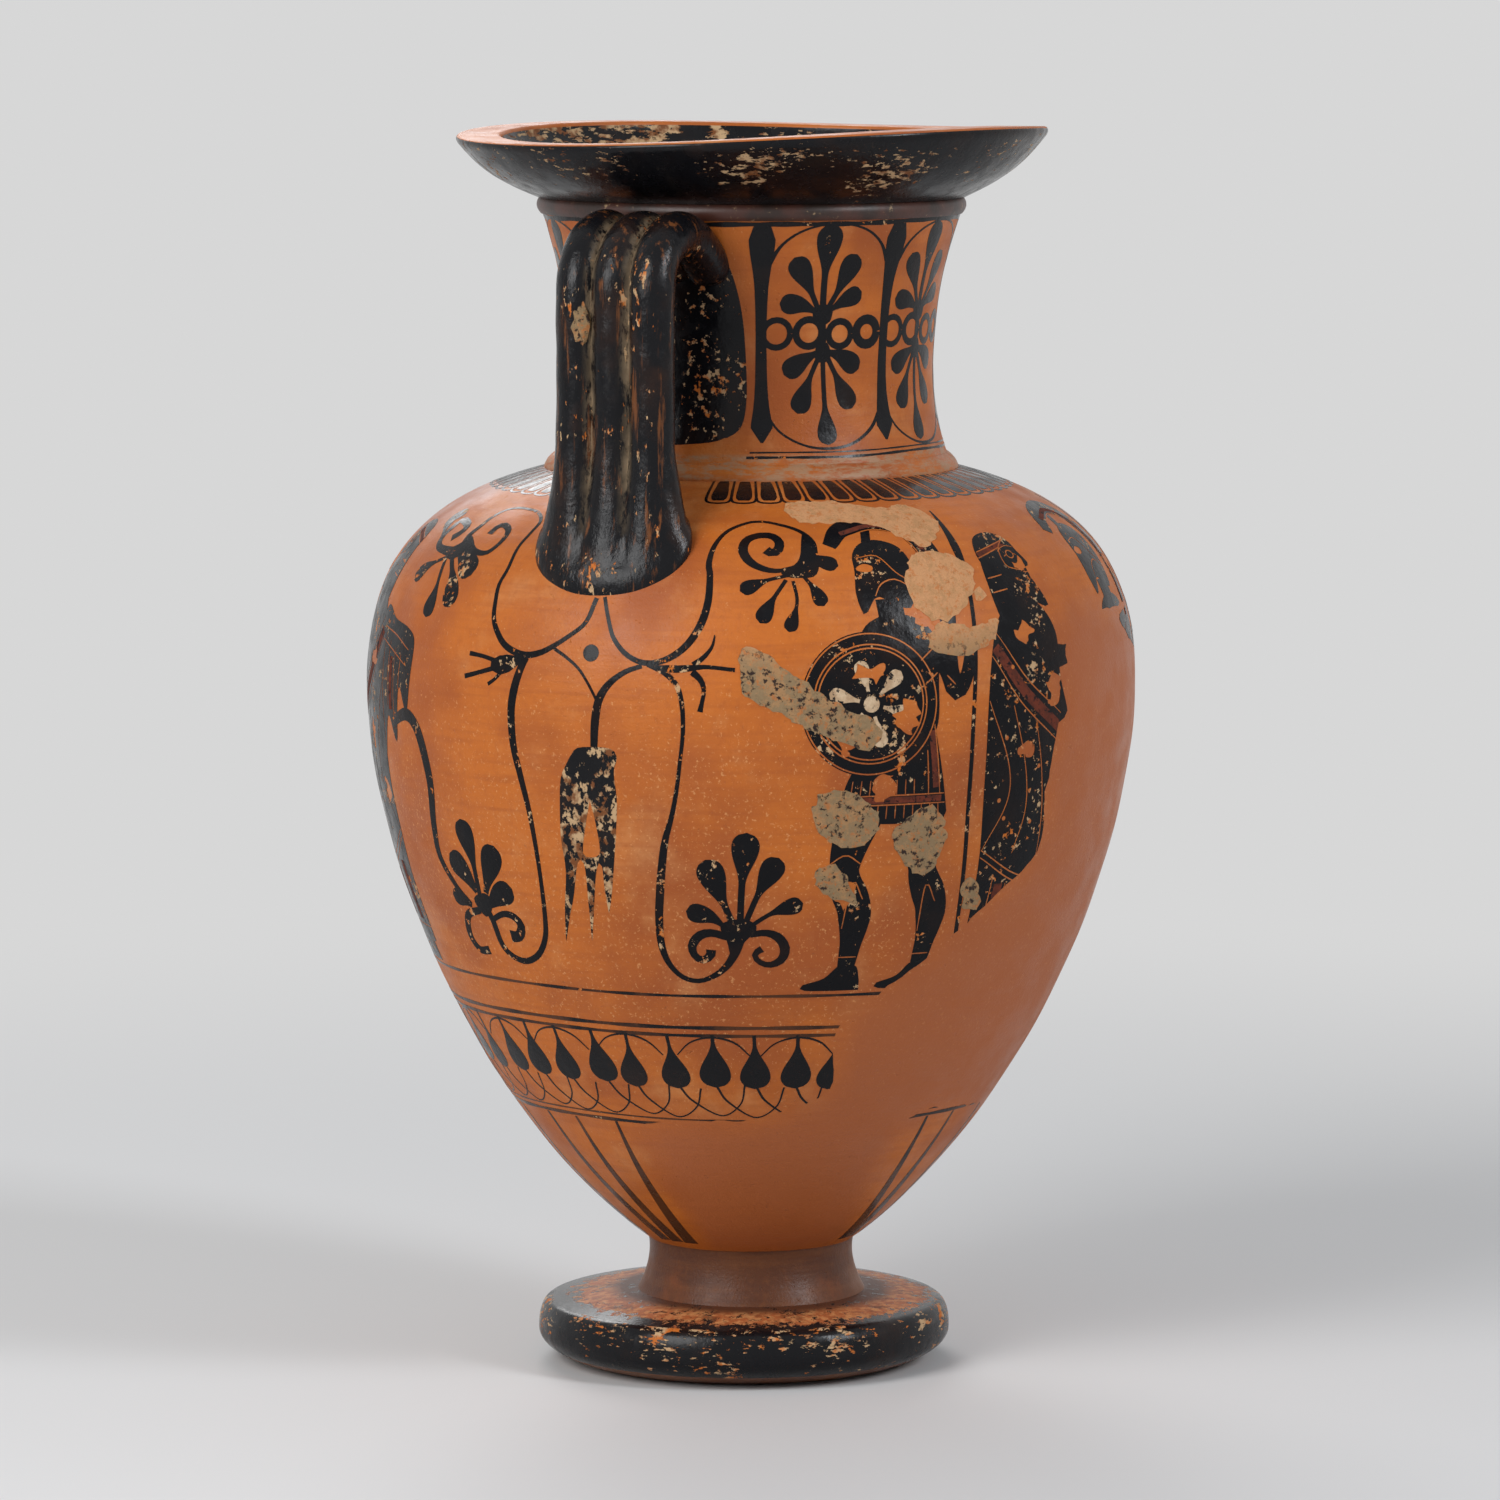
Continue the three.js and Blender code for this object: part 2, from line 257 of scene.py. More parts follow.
class Finish(Nodes):
    """A finish under construction: its material and its surface, by places on the object."""

    def __init__(self, name):
        self.material = bpy.data.materials.new(name)
        super().__init__(self.material)
        self.surface = self.tree.nodes["Principled BSDF"]
        self.place = self.node("ShaderNodeTexCoord", {}).outputs["Object"]

    def noise(self, size, detail=4.0, roughness=0.55, seed=0.0, stretch=(1, 1, 1)):
        """Noise with features of about this size in mm."""
        moved = self.node("ShaderNodeMapping", {
            "Vector": self.place, "Location": (seed, seed, seed), "Scale": stretch})
        return self.node("ShaderNodeTexNoise", {
            "Vector": moved.outputs[0], "Scale": 1 / (size * MM), "Detail": detail,
            "Roughness": roughness,
        }).outputs[0]

    def tinted(self, colour, other, clouds, low, high, most=1.0):
        """The colour with the other in clouds, noise of these settings, where it passes the two limits."""
        return self.mix(self.ramp(self.noise(*clouds), low, high, 0, most), colour, other)

    def mark(self, name):
        """A mark kept on the mesh, from 0 to 1."""
        return self.node("ShaderNodeAttribute", {}, attribute_name=name).outputs["Fac"]

    def height(self):
        return self.node("ShaderNodeSeparateXYZ", {0: self.place}).outputs[2]

    def band(self, value, low, high, blend):
        """1 between low and high, and 0 outside them."""
        return self.times(self.ramp(value, low - blend, low), self.ramp(value, high + blend, high))

    def bump(self, value, depth, normal=None):
        """Bumps this many mm deep."""
        inputs = {"Height": value, "Strength": 1.0, "Distance": depth * MM}
        if normal is not None:
            inputs["Normal"] = normal
        return self.node("ShaderNodeBump", inputs).outputs[0]

    def done(self, colour, roughness, normal, shine):
        self.feed(self.surface.inputs["Base Color"], colour)
        self.feed(self.surface.inputs["Roughness"], roughness)
        self.feed(self.surface.inputs["Normal"], normal)
        self.surface.inputs["Specular IOR Level"].default_value = shine
        return self.material


def fired_clay(name, orange, red, pale, speckle=0.5, marked=False, crusted=False):
    """Burnished clay, mottled, with pale clouds that are partly a painted sheen, and pale specks that
    thicken towards the foot. Crust clings to the foot of the neck."""
    f = Finish(name)
    colour = f.tinted(orange, red, (55, 3), 0.40, 0.66)
    # Pale clouds: partly the clay's own paler tone, partly a painted sheen of the burnish
    colour = f.tinted(colour, pale, (28, 6, 0.65, 3.0), 0.50, 0.78, 0.55)
    colour = f.tinted(colour, red, (3, 4, 0.7, 5.0), 0.45, 0.80, 0.45)
    wheel = f.noise(2.4, 3, 0.5, 0.0, (0.06, 0.06, 1))
    colour = f.mix(f.ramp(wheel, 0.45, 0.68, 0, 0.35), colour, red)
    low = f.times(f.band(f.height(), 0.135, 0.20, 0.06), 0.055)
    grains = f.sum(f.noise(1.2, 4, 0.7, 7.0), low)
    specks = f.ramp(grains, 0.645, 0.69, 0, speckle)
    if marked:
        restored = f.mark("restored")
        colour = f.mix(restored, colour, CLAY_PLAIN)
        specks = f.times(specks, f.ramp(restored, 0, 1, 1, 0.3))
    colour = f.mix(specks, colour, CLAY_PALE)
    if crusted:
        clings = f.ramp(f.noise(2.6, 6, 0.75, 21.0, (0.35, 0.35, 1.3)), 0.41, 0.59, 0, 0.88)
        crust = f.times(f.band(f.height(), 0.2925, 0.2985, 0.0018), clings)
        colour = f.mix(crust, colour, NECK_CRUST)
    pits = f.ramp(f.noise(2.2, 3, 0.6, 11.0), 0.66, 0.74)
    normal = f.bump(wheel, 0.14)
    normal = f.bump(f.less(f.noise(0.9, 3, 0.6, 2.0), pits), 0.14, normal)
    return f.done(colour, f.ramp(f.noise(12, 4), 0.3, 0.7, 0.34, 0.52), normal, 0.24)


def slip(name, wear, brown=0.4, spread=24, stretch=(1, 1, 1), bare=CLAY_ORANGE, thin=SLIP_BROWN,
         thins=(0.48, 0.72), grain=2.6, worn=None, rubbed=False, shine=0.19):
    """Glossy slip that has chipped to the clay. Wear from 0 up says how much of it has gone. Thins holds
    the limits of noise between which the thin colour comes up. Worn is a stretch of height (low, high,
    blend, gain) where more has gone. A rubbed handle is streaked, and its grooves hold crust."""
    f = Finish(name)
    colour = f.tinted(SLIP_BLACK, thin, (22, 4, 0.6, 4.0), *thins, brown)
    chips = f.sum(f.noise(grain, 5, 0.68, 1.0, stretch), f.times(f.noise(spread, 3, 0.5, 9.0), 0.6))
    if worn:
        low, high, blend, gain = worn
        chips = f.sum(chips, f.times(f.band(f.height(), low, high, blend), gain))
    edge = 1.075 - 0.16 * wear
    chips = f.ramp(chips, edge, edge + 0.012)
    flaked = f.tinted(bare, BEIGE, (5, 4, 0.6, 6.0), 0.40, 0.58)
    dust = f.ramp(f.noise(4, 6, 0.75, 8.0), 0.60, 0.82, 0, 0.10)
    colour = f.mix(dust, colour, GREY_CRUST)
    rough = f.ramp(f.noise(6, 5, 0.6, 12.0), 0.3, 0.75, 0.13, 0.36)
    if rubbed:
        streaks = f.ramp(f.noise(3.5, 6, 0.72, 15.0, (1, 1, 0.10)), 0.55, 0.66, 0, 0.8)
        colour = f.mix(streaks, colour, CLAY_RUBBED)
        clings = f.ramp(f.noise(3.2, 6, 0.78, 13.0, (1, 1, 0.3)), 0.42, 0.54)
        clings = f.times(clings, f.ramp(f.noise(13, 4, 0.6, 18.0), 0.36, 0.58, 0.45, 1))
        crust = f.times(f.mark("groove"), clings)
        colour = f.mix(crust, colour, GREY_CRUST)
        rough = f.sum(rough, f.times(crust, 0.4))
    colour = f.mix(chips, colour, flaked)
    rough = f.sum(rough, f.times(chips, 0.35))
    skin = f.less(f.noise(1.4, 3, 0.6, 3.0), f.times(chips, 1.6))
    normal = f.bump(f.noise(9, 3, 0.5, 14.0), 0.30)
    if rubbed:
        normal = f.bump(f.noise(3.5, 5, 0.65, 17.0, (1, 1, 0.5)), 0.32, normal)
    return f.done(colour, rough, f.bump(skin, 0.08, normal), shine)


def worn_foot_top():
    """The top of the foot, rubbed to the clay between the black rim and the dark ring round the stem."""
    f = Finish("foot_top")
    out = f.node("ShaderNodeVectorMath", {0: f.place}, operation="LENGTH").outputs["Value"]
    rubbed = f.tinted(CLAY_PLAIN, CLAY_STEM, (9, 6, 0.7, 2.0), 0.46, 0.70)
    rubbed = f.tinted(rubbed, CLAY_PALE, (3, 5, 0.7, 6.0), 0.44, 0.62, 0.8)
    rubbed = f.mix(f.ramp(out, 0.054, 0.047), rubbed, CLAY_STEM)
    kept = f.sum(f.noise(4, 6, 0.78, 4.0), f.ramp(out, 0.056, 0.0675, 0, 0.22))
    kept = f.ramp(kept, 0.575, 0.59)
    colour = f.mix(kept, rubbed, SLIP_BLACK)
    normal = f.bump(f.sum(f.noise(2, 4, 0.6, 3.0), kept), 0.10)
    return f.done(colour, f.ramp(kept, 0, 1, 0.55, 0.22), normal, 0.24)


def plaster():
    """Fills of old repairs: pale above, greyer below."""
    f = Finish("plaster_fill")
    tone = f.band(f.height(), 0.252, 0.300, 0.016)
    colour = f.mix(tone, (0.27, 0.18, 0.092, 1), (0.60, 0.30, 0.135, 1))
    colour = f.tinted(colour, (0.44, 0.23, 0.095, 1), (4, 6, 0.75), 0.46, 0.60, 0.65)
    colour = f.tinted(colour, CLAY_ORANGE, (2.2, 5, 0.75, 9.0), 0.54, 0.62, 0.6)
    spots = f.times(f.ramp(f.noise(2.5, 4, 0.7, 5.0), 0.54, 0.62), f.less(1.0, tone))
    colour = f.mix(spots, colour, SLIP_BROWN)
    normal = f.bump(f.noise(1.6, 5, 0.7, 2.0), 0.9)
    return f.done(colour, 0.75, normal, 0.3)


CLAY = fired_clay("orange_clay", CLAY_ORANGE, CLAY_RED, CLAY_PALE, crusted=True)
BODY_CLAY = fired_clay("body_clay", CLAY_ORANGE, CLAY_RED, CLAY_PALE, 0.7, True)
STEM_CLAY = fired_clay("stem_clay", CLAY_STEM, CLAY_RUBBED, CLAY_PLAIN, 0.1)
BLACK = slip("black_slip", 0.12)
BLACK_LINES = slip("black_lines", 0.45)
THIN_LINES = slip("thin_lines", 0.25, 1.0, thin=SLIP_THIN, thins=(0.36, 0.56))
BLACK_FIGURES = slip("black_figures", 0.85, spread=14, grain=2.2, shine=0.12)
BLACK_WORN = slip("black_slip_worn", 0.85, spread=30)
BLACK_LOTUS = slip("black_lotus", 1.75, spread=20, stretch=(1, 1, 0.8), bare=CLAY_RUBBED)
BLACK_HANDLE = slip("black_handle", 0.62, 0.7, 18, (1, 1, 0.4), grain=1.9,
                    worn=(0.248, 0.268, 0.008, 0.045), rubbed=True)
BLACK_MOUTH = slip("black_mouth", 0.50, 0.5, 34, (0.45, 0.45, 1.4), CLAY_RUBBED, grain=1.7,
                   worn=(0.386, 0.395, 0.004, 0.085))
BLACK_BORE = slip("black_bore", 1.0, 0.5, 26, (0.35, 0.35, 1.1), CLAY_RUBBED,
                  worn=(0.389, 0.399, 0.004, 0.06))
BLACK_FOOT = slip("black_foot", 0.85, 0.5, 18, (0.5, 0.5, 1.5), grain=1.9,
                  worn=(0.014, 0.0185, 0.004, 0.07))
FOOT_TOP = worn_foot_top()
PLASTER = plaster()


def brown_wash():
    f = Finish("brown_slip")
    colour = f.tinted(SLIP_RED, SLIP_BROWN, (14, 4, 0.6), 0.42, 0.62)
    colour = f.tinted(colour, BEIGE, (3, 5, 0.7, 4.0), 0.60, 0.72, 0.8)
    return f.done(colour, 0.42, f.bump(f.noise(1.2, 3, 0.6), 0.08), 0.5)


def added_colour(name, colour, worn):
    """A dull colour laid over the slip, worn through in spots."""
    f = Finish(name)
    shade = f.tinted(colour, worn, (4, 5, 0.7), 0.35, 0.65)
    shade = f.tinted(shade, SLIP_BLACK, (2.2, 5, 0.7, 4.0), 0.55, 0.60)
    return f.done(shade, 0.75, f.bump(f.noise(1.2, 3, 0.6), 0.08), 0.15)


BROWN = brown_wash()
ADDED_RED = added_colour("added_red", (0.15, 0.032, 0.016, 1), (0.075, 0.021, 0.013, 1))
ADDED_WHITE = added_colour("added_white", (0.58, 0.43, 0.28, 1), (0.40, 0.26, 0.15, 1))


# Pieces

def added(name, data):
    """A new object of the scene with this data."""
    made = bpy.data.objects.new(name, data)
    bpy.context.scene.collection.objects.link(made)
    return made


def piece(name, points, faces, finishes, nodes=(), marks=None):
    """A smooth closed mesh that rides with the jar. Marks give each face's finish."""
    mesh = bpy.data.meshes.new(name)
    mesh.from_pydata(points, [], faces)
    for finish in finishes:
        mesh.materials.append(finish)
    if marks is not None:
        mesh.polygons.foreach_set("material_index", np.array(marks, np.int32))
    mesh.shade_smooth()
    mesh.set_sharp_from_angle(angle=math.radians(38))
    made = added(name, mesh)
    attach(made, "root")
    if nodes:
        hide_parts(*nodes)
    return made


def keep_mark(made, name, values):
    attribute = made.data.attributes.new(name, "FLOAT", "POINT")
    attribute.data.foreach_set("value", np.array(values, np.float32))


def turned(name, runs, finishes, shift=(0.0, 0.0), restored=None):
    """A closed piece turned on the wheel. Each run is a stretch of outline and its finish number."""
    line = np.concatenate([run[:-1] for run, _ in runs] + [runs[-1][0][-1:]])
    marks = np.concatenate([[mark] * (len(run) - 1) for run, mark in runs])
    closed = np.allclose(line[0], line[-1])
    rows = len(line) - 1 if closed else len(line)
    turns = np.arange(SEGMENTS) * TAU / SEGMENTS
    points, index = [], []
    for radius, height in line[:rows]:
        first = len(points)
        on_axis = radius < CLOSE_ROW / 10
        round_row = placed(turns[:1] if on_axis else turns, radius, height, shift)
        points.extend(round_row)
        index.append(np.full(SEGMENTS, first) if on_axis else np.arange(first, first + SEGMENTS))
    faces, face_marks = [], []
    for i, mark in enumerate(marks):
        low, high = index[i], index[(i + 1) % rows]
        for a, b, c, d in zip(low, np.roll(low, -1), np.roll(high, -1), high):
            corners = ((a, False), (b, a == b), (c, False), (d, c == d))
            faces.append([corner for corner, gone in corners if not gone])
            face_marks.append(mark)
    made = piece(name + "_dressed", points, faces, finishes, [name], face_marks)
    if restored is not None:
        keep_mark(made, "restored", restored(np.array(points) / MM))


# The painted faces, unrolled

class Skin:
    """An outer face of the jar, unrolled. A place on it is (turn, rise): radians round the axis and mm up
    its outline. Flat places, which the shapes are drawn in, hold the turn times the mean radius."""

    def __init__(self, outline):
        self.outline = outline
        self.rises = lengths(outline)
        self.mean = outline[:, 0].mean()

    def radius(self, rise):
        return np.interp(rise, self.rises, self.outline[:, 0])

    def rise(self, height):
        return np.interp(height, self.outline[:, 1], self.rises)

    def flat(self, places):
        return np.array(places, float) * (self.mean, 1.0)

    def points(self, flat, lift):
        turn = flat[:, 0] / self.mean
        here = along(self.outline, flat[:, 1])
        heading = along(self.outline, flat[:, 1] + 0.5) - along(self.outline, flat[:, 1] - 0.5)
        heading /= np.linalg.norm(heading, axis=1)[:, None]
        return placed(turn, here[:, 0] + lift * heading[:, 1], here[:, 1] - lift * heading[:, 0])

    def normals(self, flat):
        aside = self.points(flat + (0.5, 0), 0) - self.points(flat - (0.5, 0), 0)
        above = self.points(flat + (0, 0.4), 0) - self.points(flat - (0, 0.4), 0)
        out = np.cross(aside, above)
        return out / np.linalg.norm(out, axis=1)[:, None]

    def seen(self, pixels):
        """The (turn, rise) places that these pixels of the view show."""
        pixels = np.array(pixels, float)
        focal = VIEW_PIXELS * CAMERA_LENS / CAMERA_SENSOR
        look = Euler((math.radians(CAMERA_TILT), 0, math.radians(CAMERA_TURN))).to_matrix()
        aside, upward = pixels[:, 0] - VIEW_PIXELS / 2, VIEW_PIXELS / 2 - pixels[:, 1]
        rays = np.stack([aside, upward, np.full(len(pixels), -focal)], 1)
        rays = rays @ np.array(look).T
        start = np.array(CAMERA_PLACE) / MM
        reach = np.hypot(*start[:2]) / np.hypot(rays[:, 0], rays[:, 1])
        near, far = reach * (1 - SEARCH_SHARE), reach
        for _ in range(SEARCH_STEPS):
            middle = (near + far) / 2
            at = start + rays * middle[:, None]
            wall = np.interp(at[:, 2], self.outline[:, 1], self.outline[:, 0])
            outside = np.hypot(at[:, 0], at[:, 1]) > wall
            near = np.where(outside, middle, near)
            far = np.where(outside, far, middle)
        return np.stack([np.arctan2(at[:, 1], at[:, 0]) % TAU, self.rise(at[:, 2])], 1)


BODY = Skin(np.concatenate([BOWL_FACE, SHOULDER_FACE[1:-1], COLLAR_FACE[:3]]))
NECK = Skin(NECK_FACE)


def smooth_line(places, step, closed=False):
    """An even line that passes smoothly through the places. It turns sharply where one is given twice."""
    if closed:
        padded = np.concatenate([places[-1:], places, places[:2]])
    else:
        padded = np.concatenate([2 * places[:1] - places[1:2], places, 2 * places[-1:] - places[-2:-1]])
    t = np.linspace(0, 1, 12, endpoint=False)[:, None]
    parts = []
    for a, b, c, d in zip(padded, padded[1:], padded[2:], padded[3:]):
        if not np.allclose(b, c):
            parts.append(0.5 * (2 * b + (c - a) * t + (2 * a - 5 * b + 4 * c - d) * t ** 2
                                + (3 * b - a - 3 * c + d) * t ** 3))
    line = np.concatenate(parts + [padded[-2:-1]])
    total = lengths(line)[-1]
    even = along(line, np.linspace(0, total, max(3, math.ceil(total / step)) + 1))
    return even[:-1] if closed else even


def about_centre(loop):
    """The places in order round their middle, so that the loop never crosses itself."""
    x, y = (loop - loop.mean(0)).T
    return loop[np.argsort(np.arctan2(y, x))]


def brush(skin, places, widths, step=1.6):
    """The quads of a brush stroke along (turn, rise) places. The widths in mm follow it evenly spaced, or
    come from a function of the distance gone and the whole length."""
    line = smooth_line(skin.flat(places), step)
    stretch = skin.radius(line[:, 1]) / skin.mean
    heading = np.gradient(line, axis=0)
    heading[:, 0] *= stretch
    gone = np.concatenate([[0.0], np.cumsum(np.linalg.norm(heading, axis=1)[1:])])
    heading /= np.linalg.norm(heading, axis=1)[:, None]
    if callable(widths):
        half = widths(gone, gone[-1]) / 2
    else:
        half = np.interp(gone / gone[-1], np.linspace(0, 1, len(widths)), widths) / 2
    aside = np.stack([-heading[:, 1] / stretch, heading[:, 0]], 1) * half[:, None]
    lanes = np.linspace(-1, 1, math.ceil(2 * half.max() / BRUSH_LANE) + 1)
    rungs = [middle + np.outer(lanes, reach) for middle, reach in zip(line, aside)]
    return [about_centre(np.concatenate(pair)) for pair in zip(rungs, rungs[1:])]


def club(width, stalk=0.24, taper=1.5):
    """The width of a petal: a thin stalk that swells into a round head. The taper counts in head widths."""
    def widths(gone, total):
        left = total - gone
        radius = width / 2
        head = np.sqrt(np.clip(radius ** 2 - (left - radius) ** 2, 0.02, None))
        fall = np.clip((left - radius) / (taper * width), 0, 1)
        tail = radius * (stalk + (1 - stalk) * (0.5 + 0.5 * np.cos(np.pi * fall)))
        return 2 * np.where(left < radius, head, tail)
    return widths


class Pen:
    """Draws in mm to the right of and above a place on a skin, seen from outside."""

    def __init__(self, skin, turn, height, flip=1.0, lean=0.0):
        self.skin = skin
        self.turn = math.radians(turn)
        self.rise = float(skin.rise(height))
        self.flip = flip
        self.lean = math.radians(lean)
        self.shapes = []
        self.cuts = []

    def places(self, drawn):
        drawn = np.array(drawn, float) * (self.flip, 1)
        x = drawn[:, 0] * math.cos(self.lean) - drawn[:, 1] * math.sin(self.lean)
        y = drawn[:, 0] * math.sin(self.lean) + drawn[:, 1] * math.cos(self.lean)
        rise = self.rise + y
        return np.stack([self.turn + x / self.skin.radius(rise), rise], 1)

    def line(self, drawn, widths, cut=False, step=1.6):
        kept = self.cuts if cut else self.shapes
        kept.extend(brush(self.skin, self.places(drawn), widths, step))

    def closed(self, loop, cut):
        (self.cuts if cut else self.shapes).append(self.skin.flat(self.places(loop)))

    def area(self, drawn, cut=False, step=1.8):
        """A smooth closed area through the drawn places."""
        self.closed(smooth_line(np.array(drawn, float), step, True), cut)

    def disc(self, centre, radius, cut=False, sides=20):
        turn = np.linspace(0, TAU, sides, endpoint=False)
        self.closed(np.array(centre) + radius * np.stack([np.cos(turn), np.sin(turn)], 1), cut)

    def ring(self, centre, radius, width, cut=False):
        turn = np.radians(np.linspace(0, 360, 17))
        loop = np.array(centre) + radius * np.stack([np.cos(turn), np.sin(turn)], 1)
        self.line(loop, [width, width], cut, min(1.6, radius / 3))


def sway(number, amount):
    """A steady small irregularity of the hand."""
    return amount * math.sin(number * 2.399 + 0.7 * math.sin(number * 1.31))


def inner_places(shapes):
    """Grid places in the larger shapes, which let their faces follow the curve of the jar."""
    found = set()
    for shape in shapes:
        low = np.floor(shape.min(0) / INNER_GRID).astype(int) + 1
        high = np.ceil(shape.max(0) / INNER_GRID).astype(int)
        found.update((i, j) for i in range(low[0], high[0]) for j in range(low[1], high[1]))
    return [Vector((INNER_GRID * i + 0.1 * INNER_GRID * (j % 2), INNER_GRID * j))
            for i, j in sorted(found)]


def inside(loop, places):
    """Which places lie within a loop."""
    x, y = places[:, :1], places[:, 1:]
    x0, y0 = loop.T
    x1, y1 = np.concatenate([loop[1:], loop[:1]]).T
    slope = (x1 - x0) / np.where(y1 == y0, 1, y1 - y0)
    crossed = ((y < y0) != (y < y1)) & (x < x0 + (y - y0) * slope)
    return crossed.sum(1) % 2 == 1


def covered(loops, places):
    """Which places, sorted from left to right, lie within any of the loops."""
    found = np.zeros(len(places), bool)
    for loop in loops:
        (left, low), (right, high) = loop.min(0), loop.max(0)
        start, end = np.searchsorted(places[:, 0], (left, right))
        tall = (places[start:end, 1] >= low) & (places[start:end, 1] <= high)
        near = start + np.flatnonzero(tall)
        found[near] |= inside(loop, places[near])
    return found


def united(shapes, cuts):
    """Flat places and triangles of the shapes together, less the cuts."""
    corners, edges = [], []
    for shape in shapes + cuts:
        around_it = range(len(corners), len(corners) + len(shape))
        edges.extend(zip(around_it, [*around_it[1:], around_it[0]]))
        corners.extend(Vector(place) for place in shape)
    corners += inner_places(shapes)
    places, _, faces, *_ = geometry.delaunay_2d_cdt(corners, edges, [], 0, 1e-4, False)
    places, faces = np.array(places), np.array(faces)
    faces = faces[np.argsort(places[faces, 0].mean(1))]
    centres = places[faces].mean(1)
    faces = faces[covered(shapes, centres) & ~covered(cuts, centres)]
    used, faces = np.unique(faces, return_inverse=True)
    return places[used], faces.reshape(-1, 3).tolist()


def painted(name, skin, shapes, cuts, finish, lift=PAINT_LIFT):
    """A thin closed layer on a skin."""
    flat, top = united(shapes, cuts)
    count = len(flat)
    edges = {(face[i - 1], face[i]) for face in top for i in range(len(face))}
    rims = [(a, b) for a, b in sorted(edges) if (b, a) not in edges]
    bottom = [[k + count for k in reversed(face)] for face in top]
    sides = [[b, a, a + count, b + count] for a, b in rims]
    points = np.concatenate([skin.points(flat, lift), skin.points(flat, -PAINT_DEPTH)])
    made = piece(name, points, top + bottom + sides, [finish])
    out = skin.normals(flat)
    side_faces = range(2 * len(top), 2 * len(top) + len(sides))
    along_sides = np.array([made.data.polygons[k].normal for k in side_faces])
    corner_normals = [out[k] for face in top for k in face]
    corner_normals += [-out[k - count] for face in bottom for k in face]
    corner_normals += [normal for normal in along_sides for _ in range(4)]
    made.data.normals_split_custom_set([tuple(normal) for normal in corner_normals])


# Where the lower front was restored in plain clay

RESTORED_EDGE = (
    (1130, 596), (1112, 607), (1088, 611), (1070, 624), (1066, 650), (1066, 712), (1057, 730),
    (1045, 790), (1036, 850), (985, 905), (930, 955), (886, 987), (845, 1018), (833, 1050), (826, 1092),
    (760, 1118), (690, 1121), (640, 1124), (640, 1124), (668, 1175), (706, 1240), (712, 1262))
RESTORED_BLEND = 7.0
RESTORED_FOOT = (
    (826, 1262), (872, 1172), (905, 1122), (950, 1106), (988, 1100))
# Turns and heights of its edge out of the view
RESTORED_BEYOND = ((300, 84), (321, 93), (328, 112), (322, 150), (327, 190), (319, 226), (304, 240),
                   (290, 234), (279, 245))


def ragged(loop, amount=1.4, scale=2.5):
    """A loop whose edge wanders by about this many mm, in bends of about this size."""
    moves = [[noise.noise(Vector((x, y, layer)) / scale) for layer in (0, 50)] for x, y in loop]
    return loop + amount * np.array(moves)


def restored_zone():
    """The outline of the restored clay on the body, as flat places. It runs on past the view's edge."""
    beyond = [(math.radians(turn), BODY.rise(height)) for turn, height in RESTORED_BEYOND]
    places = np.concatenate([BODY.seen(RESTORED_EDGE), BODY.seen(RESTORED_FOOT), beyond])
    return ragged(smooth_line(BODY.flat(places), 2.5, True), 1.2, 5)


RESTORED = restored_zone()


def restored_share(points):
    """From 0 to 1, how far each point in mm lies in the restored clay."""
    turn = np.arctan2(points[:, 1], points[:, 0]) % TAU
    moves = RESTORED_BLEND * np.array((-1, -0.5, 0, 0.5, 1))
    spread = [(aside, upward) for aside in moves for upward in moves]
    flat = BODY.flat(np.stack([turn, BODY.rise(points[:, 2])], 1))
    return np.mean([inside(RESTORED, flat + step) for step in spread], 0)


# The turned vessel

def across(*places):
    return respaced(places, INNER_STEP)


def inner_face(start, face, end):
    """The inner face of the wall behind an outer one, from its top down."""
    return respaced(np.concatenate([[start], inset(face, WALL)[1:-1][::-1], [end]]), INNER_STEP)


def make_body():
    seam = (BELLY_RADIUS - WALL, BELLY)
    floor_edge = (FLOOR_RADIUS, FLOOR)
    throat_top = (THROAT, COLLAR_BASE)
    throat_low = (THROAT, COLLAR_BASE - THROAT_EDGE)
    turned("body_bowl", [
        (across((0, BOWL_BASE), BOWL_FACE[0]), 0),
        (respaced(BOWL_FACE, OUTER_STEP), 0),
        (across(BOWL_FACE[-1], seam), 0),
        (inner_face(seam, BOWL_FACE, floor_edge), 1),
        (across(floor_edge, (0, FLOOR)), 1),
    ], [BODY_CLAY, CLAY], restored=restored_share)
    turned("body_shoulder", [
        (across(seam, SHOULDER_FACE[0]), 0),
        (respaced(SHOULDER_FACE, OUTER_STEP), 0),
        (across(SHOULDER_FACE[-1], throat_top), 0),
        (across(throat_top, throat_low), 1),
        (inner_face(throat_low, SHOULDER_FACE, seam), 1),
    ], [BODY_CLAY, CLAY], restored=restored_share)


def make_neck():
    collar_foot = (THROAT, COLLAR_BASE)
    neck_foot = (THROAT, NECK_BASE)
    bore_foot = (NECK_BORE, RING_BASE)
    bore_top = (NECK_BORE, MOUTH_BASE)
    ring_foot = (RING_RADIUS, RING_BASE)
    ring_top = (RING_TOP_RADIUS, MOUTH_BASE)
    turned("shoulder_collar", [
        (across(collar_foot, COLLAR_FACE[0]), 0),
        (respaced(COLLAR_FACE, COLLAR_STEP), 0),
        (across(COLLAR_FACE[-1], neck_foot), 0),
        (across(neck_foot, collar_foot), 0),
    ], [CLAY])
    turned("neck", [
        (across(neck_foot, NECK_FACE[0]), 0),
        (respaced(NECK_FACE, OUTER_STEP), 0),
        (across(NECK_FACE[-1], bore_foot), 0),
        (inner_face(bore_foot, NECK_FACE, neck_foot), 1),
    ], [CLAY, BLACK_WORN])
    turned("neck_ring", [
        (across(bore_foot, ring_foot), 0),
        (rounded(ring_foot, (70.4, RING_BASE + 2.6), ring_top, 10), 0),
        (across(ring_top, bore_top), 0),
        (across(bore_top, bore_foot), 1),
    ], [BROWN, BLACK_WORN])


